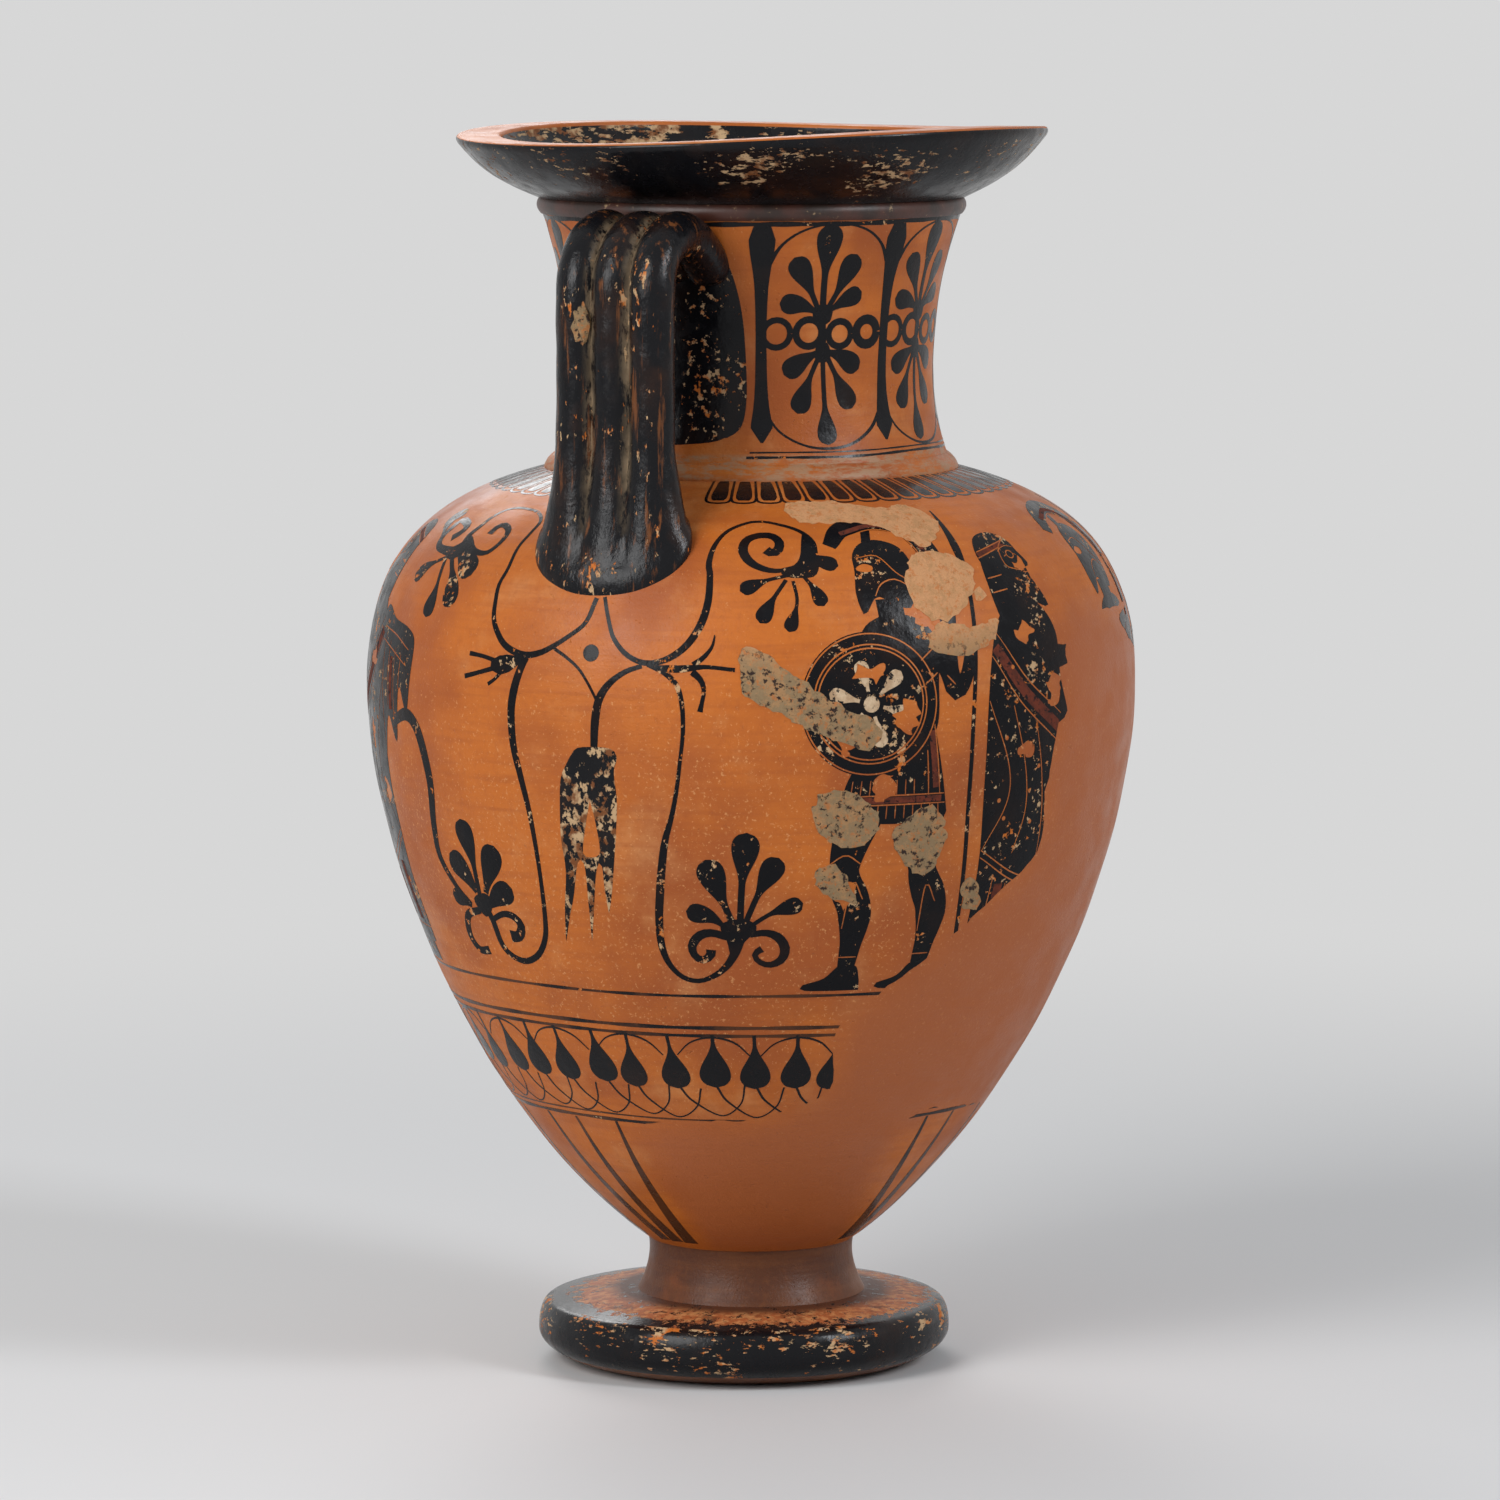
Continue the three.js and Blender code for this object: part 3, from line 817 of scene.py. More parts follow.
def make_mouth():
    widest, lip_outside, lip_inside = (95.2, 399.4), (94.0, LIP), (82.6, LIP)
    turned("mouth", [
        (across((NECK_BORE, MOUTH_BASE), MOUTH_FACE[0]), 0),
        (respaced(MOUTH_FACE, OUTER_STEP), 0),
        (rounded(MOUTH_FACE[-1], (95.9, 398.4), widest, 6), 0),
        (rounded(widest, (94.8, LIP), lip_outside, 4), 1),
        (across(lip_outside, lip_inside), 1),
        (rounded(lip_inside, (MOUTH_BORE[0][0], LIP), MOUTH_BORE[0], 6), 1),
        (respaced(MOUTH_BORE, BORE_STEP), 2),
    ], [BLACK_MOUTH, CLAY, BLACK_BORE])


def make_foot():
    hollow_top, seat = (STEM_HOLLOW, STEM_BASE), (40.7, STEM_BASE)
    ring_inside, ring_outside = (42.5, 0), (51.5, 0)
    widest, shoulder = (67.2, 10), (62.5, 19.6)
    underside = rounded(ring_outside, (67.2, 3.5), widest, 14)
    turned("foot_disc", [
        (across(hollow_top, ring_inside), 2),
        (across(ring_inside, ring_outside), 2),
        (underside[:8], 2),
        (underside[7:], 0),
        (rounded(widest, (67.2, 19.3), shoulder, 12), 0),
        (respaced([shoulder, (52, 21.2), seat], FOOT_STEP), 1),
        (across(seat, hollow_top), 1),
    ], [BLACK_FOOT, FOOT_TOP, STEM_CLAY], shift=DISC_SHIFT)
    turned("foot_stem", [
        (rounded((0, 33), (15.4, 33), hollow_top, 8), 0),
        (across(hollow_top, STEM_FACE[0]), 0),
        (respaced(STEM_FACE, STEM_STEP), 0),
        (across(STEM_FACE[-1], (0, BOWL_BASE)), 0),
    ], [STEM_CLAY])


# The handles: three rolls pressed together, spread into a pad on the shoulder

ROLL_PITCH = 12.5
ROLL_RADIUS = 7.25
HANDLE_START = (51.05, 351)
HANDLE_CREST = (83, 370)
HANDLE_REACH = 102.0
HANDLE_FOOT = 304.0
HANDLE_STEP = 1.5
NECK_SEAT = 58.0
HANDLE_WIDTH = ROLL_PITCH + ROLL_RADIUS
PAD_REACH = 103.4
PAD_LENGTH = 26.8
PAD_WIDTH = 52.0
SECTION_SIDES = 96
GROOVE_WIDTH = 1.25
HIDDEN_RINGS = 5
HOLLOW_SIZE = 11.0
HOLLOW_DEPTH = 0.45


def shoulder_height(x, y):
    return np.interp(-np.hypot(x, y), -SHOULDER_FACE[:, 0], SHOULDER_FACE[:, 1])


def handle_line():
    """Centreline from inside the neck's wall to where the pad starts to spread."""
    climb = swept(HANDLE_START, HANDLE_CREST, (0.4, 0.6), (0.7, 1))
    over = cubic(HANDLE_CREST, (93.5, 370), (HANDLE_REACH, 361.5), (HANDLE_REACH, 351))
    line = np.concatenate([climb, over[1:], [[HANDLE_REACH, HANDLE_FOOT]]])
    line = line[line[:, 0] > NECK_SEAT + 0.5]
    return along(line, np.arange(0, lengths(line)[-1], HANDLE_STEP))


def section():
    """Places of the handle's section: across it, and out from its middle."""
    turn = np.linspace(0, TAU, SECTION_SIDES, endpoint=False)
    across_it = HANDLE_WIDTH * np.cos(turn)
    rolls = [np.sqrt(np.clip(ROLL_RADIUS ** 2 - (across_it - lane) ** 2, 0, None))
             for lane in (-ROLL_PITCH, 0, ROLL_PITCH)]
    thickness = np.sum([roll ** 7 for roll in rolls], 0) ** (1 / 7)
    return across_it, thickness * np.sign(np.sin(turn) + 1e-9)


def groove_depth():
    """From 0 to 1 round the section, how deep it lies between two rolls on the outer side."""
    across_it, out = section()
    return np.exp(-((np.abs(across_it) - ROLL_PITCH / 2) / GROOVE_WIDTH) ** 2) * (out > 0)


def handle_rings():
    line = handle_line()
    heading = np.gradient(line, axis=0)
    heading /= np.linalg.norm(heading, axis=1)[:, None]
    across_it, out = section()
    rings = []
    for (reach, height), (dx, dz) in zip(line, heading):
        rings.append(np.stack([reach - dz * out, across_it, height + dx * out], 1))
    rings[0][:, 0] = np.sqrt(NECK_SEAT ** 2 - rings[0][:, 1] ** 2)
    return rings


def pad_rings(top):
    """Rings that spread from the foot of the rolls to the shoulder, and close under its face."""
    turn = np.linspace(0, TAU, SECTION_SIDES, endpoint=False)
    foot = np.stack([PAD_REACH + PAD_LENGTH / 2 * np.sin(turn), PAD_WIDTH / 2 * np.cos(turn)], 1)
    middle = np.array([PAD_REACH, 0])

    def ring(share, lift):
        flat = middle + (foot - middle) * share
        return np.column_stack([flat, shoulder_height(*flat.T) + lift])

    edge = ring(0.95, 5.5)
    corner = np.column_stack([0.58 * top[:, :2] + 0.42 * edge[:, :2], edge[:, 2] + 8])
    shares = np.linspace(0, 1, 16)[1:]
    rings = [(1 - t) ** 2 * top + 2 * t * (1 - t) * corner + t * t * edge for t in shares]
    rings += [ring(0.99, 4.2), ring(1.01, 2.6), ring(1.01, 0.8), ring(1.0, -1.2)]
    return rings + [ring(share, -2.0) for share in (0.8, 0.6, 0.4, 0.2)]


def ring_faces(count):
    """The faces between this many rings of the section, with both ends closed."""
    faces = []
    for low in range(0, (count - 1) * SECTION_SIDES, SECTION_SIDES):
        high = low + SECTION_SIDES
        for k in range(SECTION_SIDES):
            after = (k + 1) % SECTION_SIDES
            faces.append([low + k, low + after, high + after, high + k])
    last = (count - 1) * SECTION_SIDES
    faces.append(list(reversed(range(SECTION_SIDES))))
    faces.append([last + k for k in range(SECTION_SIDES)])
    return faces


def dented(rings):
    """The points of the rings with the small hollows of pressed clay, apart from those under the pad."""
    points = np.concatenate(rings)
    hollows = [noise.noise(Vector(point) / HOLLOW_SIZE) for point in points]
    outward = points - np.repeat([ring.mean(0) for ring in rings], SECTION_SIDES, 0)
    outward /= np.linalg.norm(outward, axis=1)[:, None]
    shown = np.repeat([1.0] * (len(rings) - HIDDEN_RINGS) + [0.0] * HIDDEN_RINGS, SECTION_SIDES)
    return points + outward * (HOLLOW_DEPTH * np.array(hollows) * shown)[:, None]


def make_handle(name, side, turn):
    rings = handle_rings()
    on_rolls = len(rings)
    rings += pad_rings(rings[-1])
    angle = math.radians(turn)
    spin = np.array([
        [math.cos(angle), -math.sin(angle), 0], [math.sin(angle), math.cos(angle), 0], [0, 0, 1]])
    points = MM * dented(rings) @ spin.T
    made = piece(name, points, ring_faces(len(rings)), [BLACK_HANDLE], [
        f"handle_{side}_roll_front", f"handle_{side}_roll_middle", f"handle_{side}_roll_back",
        f"handle_{side}_root"])
    fade = [1.0] * on_rolls + [max(0.0, 1 - 0.12 * k) for k in range(len(rings) - on_rolls)]
    keep_mark(made, "groove", np.concatenate([groove_depth() * share for share in fade]))


# Ornament of the neck

CHAIN_STEP = 41.7
CHAIN_MIDDLE = 337.6
BAR = (0.62, 1.0, 0.86, 0.66, 0.52, 0.46, 0.42, 0.40, 0.40, 0.42, 0.44, 0.50, 0.62, 0.84, 0.10)


def chain_bar(turn):
    pen = Pen(NECK, turn, CHAIN_MIDDLE)
    pen.line([(0, 35.4), (0, 0), (0.2, -34.5)], [8.6 * share for share in BAR])
    return pen


def chain_palmette(turn, shift, lean):
    """Two palmettes back to back in an oval, with a chain of rings across it."""
    frame_pen = Pen(NECK, turn, CHAIN_MIDDLE)
    frame_pen.line([(-21.4, 21), (-17.2, 29.0), (-10, 34), (0, 35.8), (10, 34), (17.2, 29.0), (21.4, 21)],
                   [1.8, 0.9, 0.7, 0.7, 0.7, 0.9, 1.8])
    frame_pen.line([(-20.6, -24), (-16, -31), (-8.4, -35.4), (0, -36.6), (8.4, -35.2), (16, -30.5),
                    (20.6, -24)], [0.8, 0.7, 0.7, 0.9, 0.9, 1.1, 1.5])
    pen = Pen(NECK, turn, CHAIN_MIDDLE, lean=lean)
    petals = (
        ((0, 6), (0.3, 20), (1.4, 35.6), 8.8), ((-1.2, 7), (-5.2, 16), (-10.2, 25.2), 7.4),
        ((1.2, 7), (5.4, 14), (11.2, 25.0), 7.4), ((-2, 7), (-7.6, 9.6), (-14.2, 10.4), 6.6),
        ((2, 7), (7.4, 10.0), (13.8, 12.6), 6.2), ((0, -6), (0, -20), (-0.2, -35.4), 6.6),
        ((-1.2, -7), (-4.6, -14), (-9.4, -24.8), 6.6), ((1.2, -7), (4.6, -14), (9.6, -24.4), 6.8),
        ((-2, -6), (-7, -8.4), (-13.0, -12.4), 6.8), ((2, -6), (7, -8.0), (12.8, -12.2), 6.8))
    for base, middle, tip, width in petals:
        places = np.array([base, middle, tip]) + (shift, 0)
        pen.line(places, club(width), step=0.8)
    upper_heart = np.array([(-3.4, 8), (0, 9.4), (3.4, 8), (2.4, 3.4), (0, 3), (-2.4, 3.4)])
    lower_heart = np.array([(-2.6, -8), (0, -9.4), (2.6, -8), (2.0, -3.4), (0, -3), (-2.0, -3.4)])
    pen.area(upper_heart + (shift, 0))
    pen.area(lower_heart + (shift, 0))
    pen.line(np.array([(0, 5), (0, -5)]) + (shift, 0), [2.2, 2.4, 2.2])
    for x, radius, width in ((-15.9, 4.4, 2.0), (-5.4, 4.3, 2.3), (5.2, 4.0, 2.2), (15.2, 4.0, 3.1)):
        frame_pen.ring((x + shift / 2, 0.3 * math.sin(x)), radius, width)
    return [pen, frame_pen]


def gathered(pens):
    return [shape for pen in pens for shape in pen.shapes], [cut for pen in pens for cut in pen.cuts]


def make_neck_ornament(name, side):
    pens = [chain_bar(side + CHAIN_STEP * k) for k in (-1.5, -0.5, 0.5, 1.5)]
    for k, shift, lean in ((-1, -1.6, 2.4), (0, -3.6, 0.6), (1, -0.8, -1.2)):
        pens += chain_palmette(side + CHAIN_STEP * k, shift, lean)
    shapes, cuts = gathered(pens)
    painted("paint_neck_chain_" + name, NECK, shapes, cuts, BLACK)


def make_neck_panel(name, side):
    pen = Pen(NECK, side, CHAIN_MIDDLE)
    half = [(12, 35.4), (12.5, 34), (16.6, 28), (20.2, 21), (22.6, 8), (23.4, -8), (23.6, -22), (22, -30),
            (16, -33.6), (7, -35)]
    pen.area(half + [(-x * 1.02, y - 0.6) for x, y in reversed(half)])
    painted("paint_neck_panel_" + name, NECK, pen.shapes, [], BLACK_WORN)


def around(skin, height, width, start=0.03, end=359.97, wobble=0.25):
    """A painted line round the jar, between two turns."""
    turns = np.radians(np.linspace(start, end, max(8, round(abs(end - start) / 4))))
    rises = skin.rise(height) + wobble * (np.sin(3 * turns) + 0.6 * np.sin(7 * turns + 1))
    steps = len(turns)
    widths = width * (1 + 0.22 * np.sin(np.arange(steps) * 1.7))
    return brush(skin, np.stack([turns, rises], 1), widths, 2.2)


def make_neck_lines():
    shapes = around(NECK, 372.6, 1.5)
    for side in (FRONT_SIDE, BACK_SIDE):
        shapes += around(NECK, 300.4, 0.5, side - 66, side + 66, 0.2)
        shapes += around(NECK, 298.9, 0.8, side - 67, side + 67, 0.3)
    painted("paint_neck_lines", NECK, shapes, [], BLACK_LINES)


# Tongues round the neck's foot

TONGUE_STEP = 5.6


def tongue(turn, number):
    """A tongue between two lines that it shares with its neighbours."""
    pen = Pen(BODY, turn, 292.2)
    widths = [2.8, 3.5, 3.7, 3.9, 4.2, 4.5, 4.8, 5.0, 5.1, 4.9, 3.4]
    pen.line([(0, sway(number, 0.3) - 0.9), (0.1, -9), (0, -17.0)], widths, step=1.3)
    side = [(math.radians(TONGUE_STEP / 2) * BODY.radius(pen.rise + y), y) for y in (-0.6, -7, -14.6)]
    side.append((3.3, -18.1))
    arch = [(-x, y) for x, y in side] + [(0, -19.0)] + side[::-1]
    pen.line(arch, [0.7, 0.8, 0.9, 1.0, 0.9, 0.8, 0.7], step=1.3)
    return pen


def make_tongues(name, side):
    shapes, cuts = gathered([tongue(side + TONGUE_STEP * k, k) for k in range(-13, 14)])
    painted("paint_tongues_" + name, BODY, shapes, cuts, BLACK)


# Tendrils, palmettes and lotus under each handle, drawn on the view and repeated behind

STEM_RIGHT = (
    (605, 597), (609, 622), (614, 639), (627, 655), (645, 663), (665, 660), (685, 647), (700, 626),
    (708, 602), (710, 576), (709, 563), (715, 545), (728, 531), (748, 523), (764, 522), (780, 525),
    (794, 529), (804, 534), (812, 543), (813, 553))
CURL_RIGHT = (
    (797, 567), (777, 571), (761, 568), (749, 561), (743, 551), (746, 541), (757, 536), (771, 536),
    (779, 542), (778, 550), (772, 553), (766, 550))
HUB_RIGHT = (
    (802, 535), (810, 540), (814, 550), (819, 564), (815, 576), (801, 578), (787, 577), (780, 571),
    (794, 565), (800, 556))
PETALS_RIGHT = (
    (((790, 575), (765, 581), (740, 591)), 5.0), (((786, 580), (772, 601), (760, 623)), 5.2),
    (((793, 581), (797, 603), (789, 632)), 4.4), (((804, 577), (815, 590), (824, 606)), 4.8),
    (((812, 557), (824, 562), (838, 566)), 5.6))
SHOOTS_RIGHT = (
    (((654, 667), (675, 669), (692, 668), (707, 667), (735, 670)), (1.0, 2.4, 2.2, 1.4, 1.2, 1.3)),
    (((693, 665), (703, 658), (712, 647), (715, 635)), (1.9, 1.5, 1.0, 0.5)),
    (((692, 672), (700, 679), (704, 691), (700, 712)), (2.3, 1.8, 1.4, 1.2, 1.8)))
LOOP_RIGHT = (
    (648, 664), (665, 673), (677, 686), (682, 705), (683, 732), (680, 762), (677, 788), (672, 815),
    (665, 841), (662, 865), (660, 894), (659, 918), (661, 943), (668, 962), (681, 976), (696, 981),
    (710, 978), (724, 969), (733, 957), (738, 943), (739, 930))
INNER_RIGHT = ((642, 666), (625, 672), (609, 684), (599, 700), (595, 722), (594, 747))
PALMETTE_RIGHT = (
    (((740, 926), (742, 883), (747, 833)), 8.8), (((733, 925), (719, 893), (705, 860)), 8.8),
    (((746, 922), (759, 893), (779, 858)), 7.6), (((727, 929), (710, 917), (686, 911)), 6.6),
    (((751, 926), (773, 913), (803, 903)), 5.8))
CURLS_RIGHT = (
    (((727, 937), (711, 933), (699, 936), (692, 946), (695, 956), (703, 960), (710, 956), (711, 950)),
     (2.6, 2.6, 3.0, 3.0, 2.4, 2.6, 3.2)),
    (((750, 935), (766, 933), (779, 938), (785, 949), (781, 960), (769, 965), (758, 961), (755, 954),
      (762, 949)), (2.0, 2.2, 3.0, 3.2, 2.8, 2.0, 1.8, 2.4)))
HUB_PALMETTE = ((720, 926), (733, 920), (748, 920), (757, 929), (744, 943), (739, 954), (731, 956),
                (727, 942))
STEM_LEFT = (
    (597, 598), (586, 622), (569, 636), (550, 648), (539, 653), (527, 655), (515, 652), (504, 644),
    (497, 631), (494, 618), (496, 601), (500, 584), (509, 568), (519, 547), (531, 533), (541, 521),
    (538, 512), (522, 508), (507, 510), (493, 517), (480, 527), (470, 535), (464, 545))
CURL_LEFT = (
    (470, 543), (475, 551), (486, 553), (496, 547), (505, 538), (509, 530), (505, 525), (498, 527),
    (490, 534))
HUB_LEFT = ((472, 535), (465, 541), (452, 548), (446, 554), (452, 560), (462, 554), (472, 551),
            (475, 544))
PETALS_LEFT = (
    (((461, 553), (467, 561), (472, 575)), 8.4), (((453, 558), (453, 580), (450, 607)), 7.6),
    (((447, 558), (437, 588), (426, 617)), 6.2), (((450, 556), (429, 566), (415, 579)), 6.0),
    (((441, 541), (452, 520), (469, 510)), 7.0))
SHOOTS_LEFT = (
    (((453, 552), (440, 547), (442, 538), (452, 528), (463, 520), (468, 525), (462, 532), (452, 538)),
     (4.0, 3.0, 2.4, 2.8, 3.0, 3.0, 3.4)),
    (((526, 658), (512, 662), (500, 665), (491, 664)), (1.4, 3.0, 5.6, 6.0, 3.0)),
    (((494, 660), (483, 656), (470, 653)), (1.4, 1.3, 1.5)),
    (((494, 668), (480, 672), (465, 676)), (1.6, 1.4, 1.6)),
    (((502, 671), (495, 679), (488, 684)), (1.4, 1.1, 1.2)))
LOOP_LEFT = (
    (526, 657), (520, 670), (514, 690), (511, 712), (513, 745), (521, 778), (529, 811), (537, 855),
    (542, 888), (545, 918), (545, 938), (539, 954), (527, 961), (513, 956), (502, 944), (493, 921),
    (486, 907))
INNER_LEFT = ((552, 647), (566, 657), (579, 669), (589, 685), (596, 699))
PALMETTE_LEFT = (
    (((481, 900), (472, 860), (459, 819)), 8.6), (((477, 892), (464, 872), (449, 853)), 8.8),
    (((486, 893), (489, 870), (493, 846)), 9.2), (((490, 905), (499, 896), (512, 889)), 8.2),
    (((472, 905), (464, 899), (453, 894)), 6.0))
CURLS_LEFT = (
    (((492, 920), (503, 914), (514, 917), (521, 926), (519, 936), (511, 936)), (1.8, 2.0, 2.8, 3.4, 4.2)),
    (((480, 910), (468, 915), (470, 934), (480, 949), (490, 950)), (2.4, 2.8, 3.0, 2.6, 3.0)),
    (((393, 722), (405, 714), (415, 726), (423, 752), (430, 785), (433, 825), (439, 855), (455, 884),
      (470, 903)), (3.0, 4.2, 4.4, 4.0, 3.4, 3.0, 2.4, 2.0)))
HUB_LEFT_PALMETTE = ((474, 898), (482, 893), (490, 897), (492, 909), (487, 917), (479, 909))
LOTUS = (
    (571, 755), (577, 748), (592, 747), (611, 749), (617, 758), (614, 772), (617, 800), (616, 832),
    (614, 865), (612, 893), (609, 914), (609, 914), (605, 890), (602, 866), (597, 868), (594, 908),
    (592, 942), (592, 942), (589, 908), (585, 867), (578, 862), (574, 895), (569, 921), (566, 942),
    (566, 942), (565, 910), (566, 872), (561, 838), (560, 805), (561, 778), (566, 765))
LOTUS_GAP = ((590, 800), (590, 800), (595, 820), (600, 850), (596, 857), (585, 856), (583, 845))
DOT = (591, 653)


class Traced(Pen):
    """Strokes placed by pixels of the view, then carried round the jar by a turn."""

    def __init__(self, turn):
        super().__init__(BODY, turn, BELLY)

    def places(self, drawn):
        return BODY.seen(drawn) + (self.turn, 0)

    def area(self, drawn, cut=False):
        loop = smooth_line(BODY.flat(self.places(drawn)), 1.5, True)
        (self.cuts if cut else self.shapes).append(loop)

    def disc(self, pixel, radius):
        pen = Pen(BODY, 0, BELLY)
        pen.turn, pen.rise = self.places([pixel])[0]
        pen.disc((0, 0), radius)
        self.shapes += pen.shapes


def make_tendrils(name, turn):
    art = Traced(turn)
    art.line(STEM_RIGHT, [1.2, 1.3, 1.6, 1.8, 2.2, 2.5, 2.2, 1.9, 1.4, 1.2, 1.2, 1.4, 3.0])
    art.line(CURL_RIGHT, [1.6, 1.5, 2.2, 3.0, 3.0, 2.6, 2.8, 3.0, 3.4])
    art.line(LOOP_RIGHT, [1.8, 1.7, 1.4, 1.2, 1.3, 1.6, 2.4, 2.7, 2.6, 2.4, 1.7, 1.6, 2.6, 4.4])
    art.line(INNER_RIGHT, [1.4, 1.8, 2.6, 2.8, 2.4])
    art.line(STEM_LEFT, [1.6, 1.4, 1.5, 2.0, 2.2, 2.0, 1.6, 1.4, 1.2, 1.2, 1.2, 1.2, 1.3, 2.0, 3.0])
    art.line(CURL_LEFT, [3.0, 2.4, 2.0, 1.8, 2.2, 2.4, 2.8])
    art.line(LOOP_LEFT, [2.6, 3.0, 2.8, 2.4, 2.0, 1.7, 1.5, 1.7, 2.0, 2.2, 2.4, 2.6])
    art.line(INNER_LEFT, [1.1, 1.0, 0.9, 0.9])
    for pixels, widths in SHOOTS_RIGHT + CURLS_RIGHT + SHOOTS_LEFT + CURLS_LEFT:
        art.line(pixels, widths)
    for pixels, width in PETALS_RIGHT + PALMETTE_RIGHT + PETALS_LEFT + PALMETTE_LEFT:
        art.line(pixels, club(width), step=0.8)
    for pixels in (HUB_RIGHT, HUB_PALMETTE, HUB_LEFT, HUB_LEFT_PALMETTE):
        art.area(pixels)
    art.disc(DOT, 2.7)
    painted("paint_tendrils_" + name, BODY, art.shapes, art.cuts, BLACK_FIGURES)
    lotus = Traced(turn)
    lotus.area(LOTUS)
    lotus.area(LOTUS_GAP, True)
    painted("paint_lotus_" + name, BODY, lotus.shapes, lotus.cuts, BLACK_LOTUS)


# Bands, buds and rays below the pictures

BUD_COUNT = 44
FIRST_BUD = 205.0
RAY_COUNT = 28


def make_bands():
    shapes = around(BODY, 133.2, 1.0) + around(BODY, 122.4, 1.3) + around(BODY, 119.7, 1.2)
    shapes += around(BODY, 90.2, 0.6) + around(BODY, 88.2, 1.3)
    painted("paint_bands", BODY, shapes, [RESTORED], THIN_LINES)


def make_buds():
    step = 360 / BUD_COUNT
    pens = []
    for k in range(BUD_COUNT):
        pen = Pen(BODY, (FIRST_BUD + step * k) % 360 + sway(k, 0.5), 119.4, lean=sway(k + 3, 3))
        wide = 9.6 + sway(k, 0.6)
        pen.line([(0, 0.5), (0.2, -10), (0, -20.6 + sway(k, 0.8))], club(wide, 0.12, 1.35), step=0.9)
        gap = 11.6
        pen.line([(0.5, -20.0), (3.5, -26), (gap, -32.5), (1.6 * gap, -28), (1.86 * gap, -20.0)],
                 [0.8, 0.7, 0.5, 0.5, 0.6])
        if k % 2:
            pen.line([(-gap, -7.5), (-0.6 * gap, -2.4), (0, -0.4), (0.6 * gap, -2.4), (gap, -7.5)],
                     [0.4, 0.5, 0.8, 0.7, 0.4])
        pens.append(pen)
    shapes, _ = gathered(pens)
    painted("paint_buds", BODY, shapes, [RESTORED], BLACK)


def make_rays():
    shapes = []
    for k in range(RAY_COUNT):
        turn = 5 + 360 / RAY_COUNT * k + sway(k, 1.5)
        slant = 5 + sway(k + 5, 3)
        rises = BODY.rise([87.6, 72, 56, 42.4])
        turns = np.radians(turn + slant * np.array([0, 0.15, 0.5, 1]))
        shapes += brush(BODY, np.stack([turns, rises], 1), [1.0, 1.7, 2.6, 3.4, 4.3, 5.2])
    painted("paint_rays", BODY, shapes, [RESTORED], THIN_LINES)


# The pictures: a warrior, an elder and a woman who holds out a wreath

FEET = 134.6


class Figure:
    """A figure in slip, with incised lines and added red and white. It stands at a turn and faces right,
    or left where it is flipped. The places are mm from between its feet."""

    def __init__(self, turn, flip):
        self.slip, self.red, self.white = (Pen(BODY, turn, FEET, flip) for _ in range(3))

    def incise(self, *lines, width=0.5):
        for line in lines:
            self.slip.line(line, [0.7 * width, width, width, 0.7 * width], True)

    def dots(self, centres):
        for centre in centres:
            self.slip.disc(centre, 0.8, True, 8)

    def band(self, places, width):
        self.red.line(places, [width, width])


def foot(pen, x, height=9.0):
    pen.area([(x - 5, 0), (x - 5, 0), (x + 6, 0), (x + 13, 0.4), (x + 13.5, 2.2), (x + 7, 4.5),
              (x + 2.6, height), (x - 2.6, height), (x - 4.4, 4.5)])


def head_outline(x, y):
    """A plain face in profile: the eyes half way up the head, the nose to a quarter, a calm mouth."""
    face = [(0, 20), (5.6, 18.6), (8.4, 15), (9.2, 11.4), (9.2, 11.4), (11.6, 6.4), (11.2, 5.4),
            (9.4, 5.2), (9.9, 4.0), (9.1, 3.2), (9.7, 2.2), (8.6, 1.2), (8.7, -0.6), (6.4, -1.8),
            (2.4, -0.6), (0.8, -3), (-4.6, -3), (-7.4, 3), (-9.4, 10), (-6.4, 17.4)]
    return [(x + a, y + b) for a, b in face]


def draw_face(figure, x, y):
    """The eye with its corners, the brow and the lips."""
    figure.slip.ring((x + 5.3, y + 10.2), 1.5, 0.5, True)
    corners = [[(7.0, 10.3), (8.2, 9.7)], [(3.6, 10.1), (2.2, 9.5)]]
    brow = [(2.6, 12.9), (5.6, 13.7), (8.6, 12.9)]
    lips = [(7.2, 3.3), (9.6, 3.2)]
    for line in corners + [brow, lips]:
        figure.incise([(x + a, y + b) for a, b in line], width=0.4)


def fill_elder(pen):
    """The elder in slip, from his feet to his staff."""
    foot(pen, -7)
    foot(pen, 7)
    pen.area([(-14, 7), (-14, 7), (-16, 38), (-19, 72), (-18, 98), (-14, 114), (-7, 123), (2, 126),
              (9, 123), (14, 114), (14, 100), (19, 84), (22, 66), (20, 40), (18, 8), (18, 8), (3, 5)])
    pen.line([(0, 120), (0.5, 132)], [10, 8])
    pen.area(head_outline(0, 131))
    pen.area([(1, 137), (8.6, 134.2), (9.8, 132), (13.4, 124), (12.6, 122), (6, 125), (1, 130)])
    pen.area([(-7, 142), (-10, 136), (-10.4, 124), (-8, 116), (-3, 118), (-2, 130)])
    pen.line([(12, 106), (20, 107), (27, 113)], [8, 6, 4.4, 4.8])
    pen.line([(29.4, 0), (28.6, 60), (28.2, 124), (25.5, 131), (21.5, 128)],
             [1.2, 1.5, 1.5, 1.5, 1.5, 1.2])


